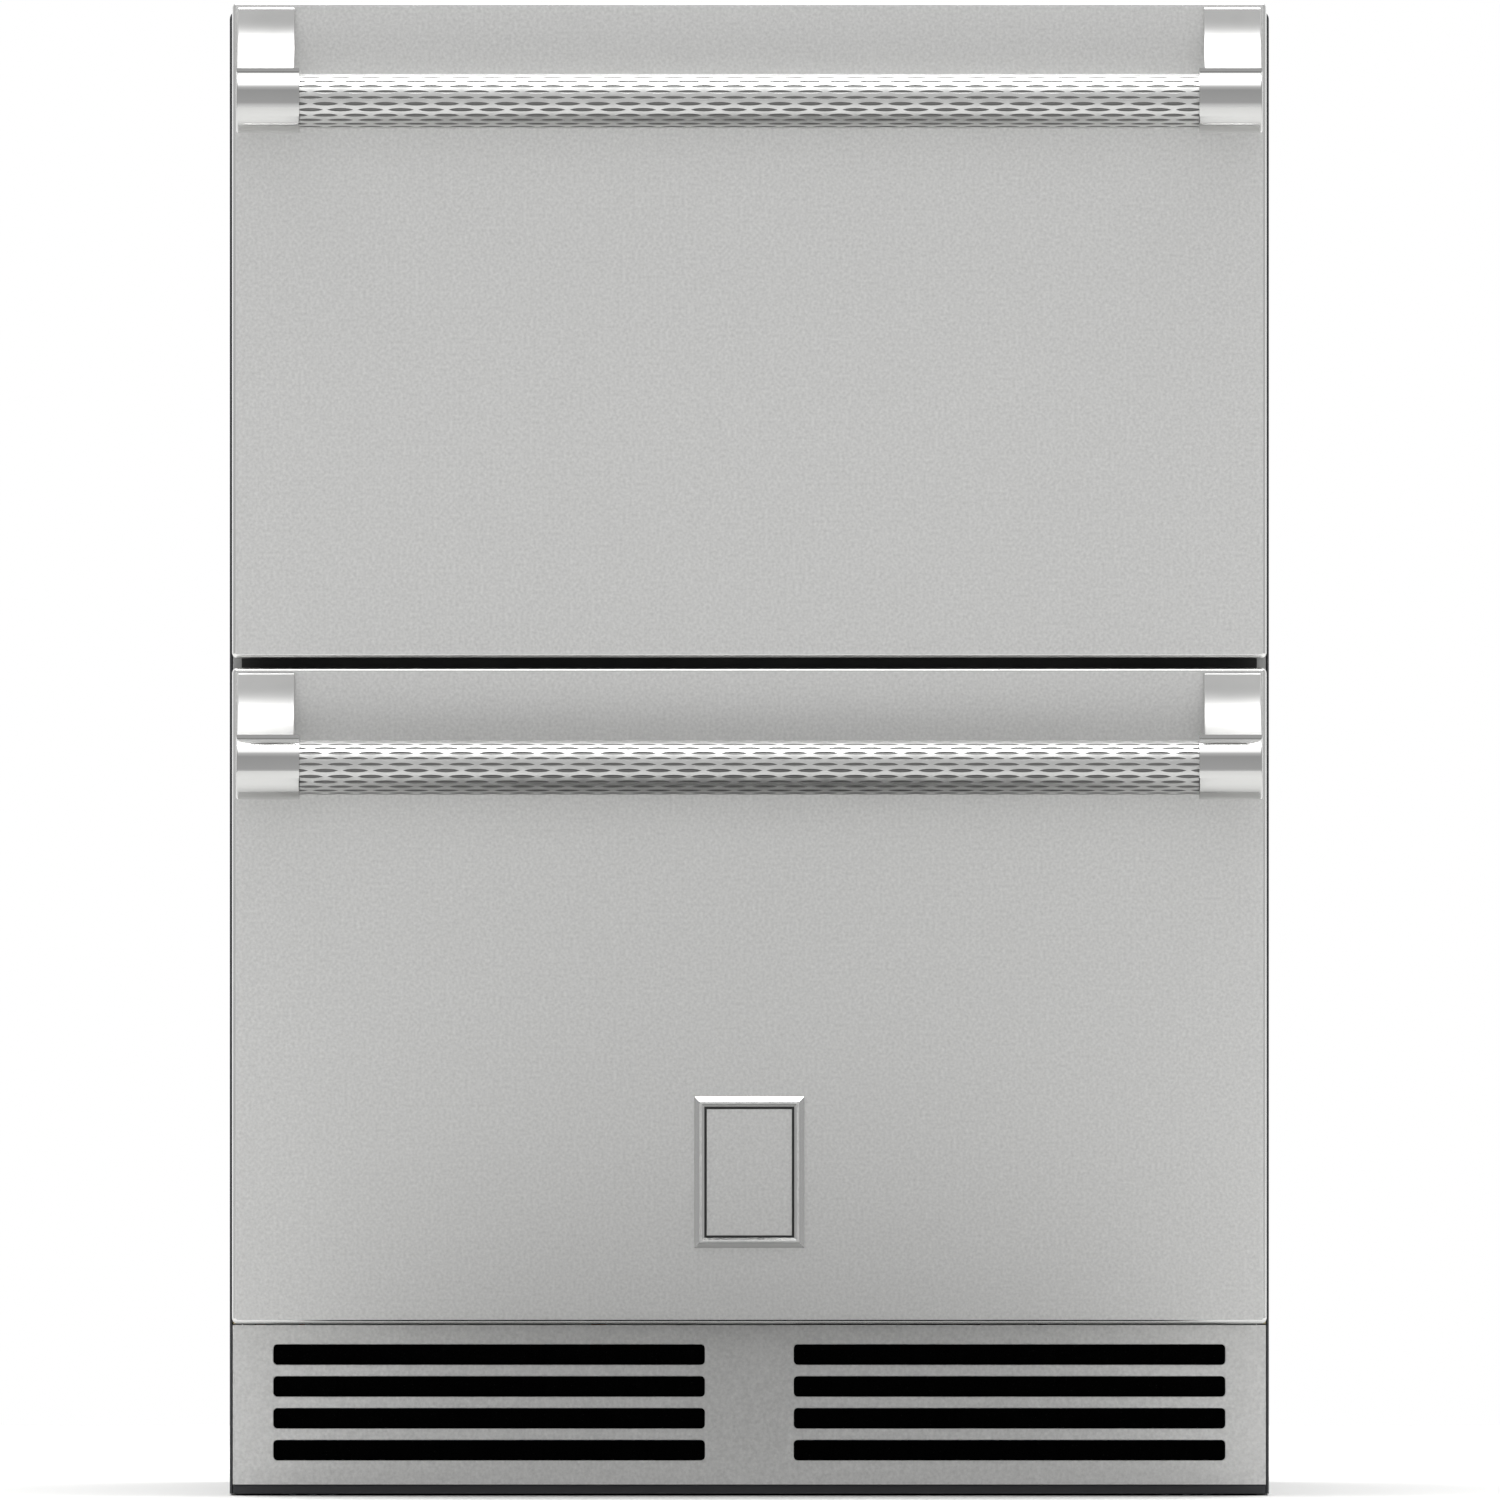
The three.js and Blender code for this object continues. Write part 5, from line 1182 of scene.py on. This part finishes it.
room = add(sky, "ShaderNodeMix", lighter, {"Factor": behind.outputs["Result"], 6: walls.outputs["Color"]})
room.inputs[7].default_value = BEHIND
room_light = add(sky, "ShaderNodeBackground", {"Strength": 1.0}, {"Color": room.outputs[2]})
seen = add(sky, "ShaderNodeBackground", {"Color": (1, 1, 1, 1), "Strength": 1.0})
to_camera = add(sky, "ShaderNodeLightPath").outputs["Is Camera Ray"]
mix = add(sky, "ShaderNodeMixShader", {}, {0: to_camera, 1: room_light.outputs[0], 2: seen.outputs[0]})
add(sky, "ShaderNodeOutputWorld", {}, {"Surface": mix.outputs[0]})


def softbox(name, place, target, size, watts):
    """A rectangular lamp that lights and shows in reflections, but isn't seen by the camera."""
    lamp = bpy.data.lights.new(name, "AREA")
    lamp.shape = "RECTANGLE"
    lamp.size, lamp.size_y = size
    lamp.energy = watts
    holder = bpy.data.objects.new(name, lamp)
    bpy.context.collection.objects.link(holder)
    holder.location = place
    holder.rotation_euler = (Vector(target) - Vector(place)).to_track_quat("-Z", "Y").to_euler()
    holder.visible_camera = False


softbox("overhead", (0, -0.25, 2.6), (0, -0.25, 0), (2.2, 0.7), 55)

# A black card on the floor under the handles, seen only in reflections: painted shade, for the ground that lies dark
# in the object's shadow there.
CARD_SIZE, CARD_PLACE = 0.52, (0, -0.59, 0.002)
clear_selection()
bpy.ops.mesh.primitive_plane_add(size=1, location=CARD_PLACE)
bpy.context.object.scale = (CARD_SIZE, CARD_SIZE, 1)
card = settle("studio_shade_card")
card.data.materials.append(
    finish("painted_shade_card", ("050505", "080808"), (0.95, 1.0), 40, [("noise", 2, 0.1)])
)
for ray_kind in ("camera", "diffuse", "shadow", "transmission"):
    setattr(card, f"visible_{ray_kind}", False)

LENS_DISTANCE = 30.0  # from the drawer fronts: the photograph has almost no perspective
FRAME_WIDTH = 0.8732  # across the picture at the fronts' plane
CENTRE_X, CENTRE_Z = 0.0004, 0.4348  # of the picture
SENSOR = 36.0  # millimetres
front_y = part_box("upper_front_panel")[0][1]
lens = bpy.data.cameras.new("camera")
lens.sensor_width = SENSOR
lens.lens = SENSOR * LENS_DISTANCE / FRAME_WIDTH
lens.clip_end = 200
camera = bpy.data.objects.new("camera", lens)
bpy.context.collection.objects.link(camera)
camera.location = (CENTRE_X, front_y - LENS_DISTANCE, CENTRE_Z)
camera.rotation_euler = (math.pi / 2, 0, 0)
bpy.context.scene.camera = camera
bpy.context.scene.view_settings.view_transform = "Standard"
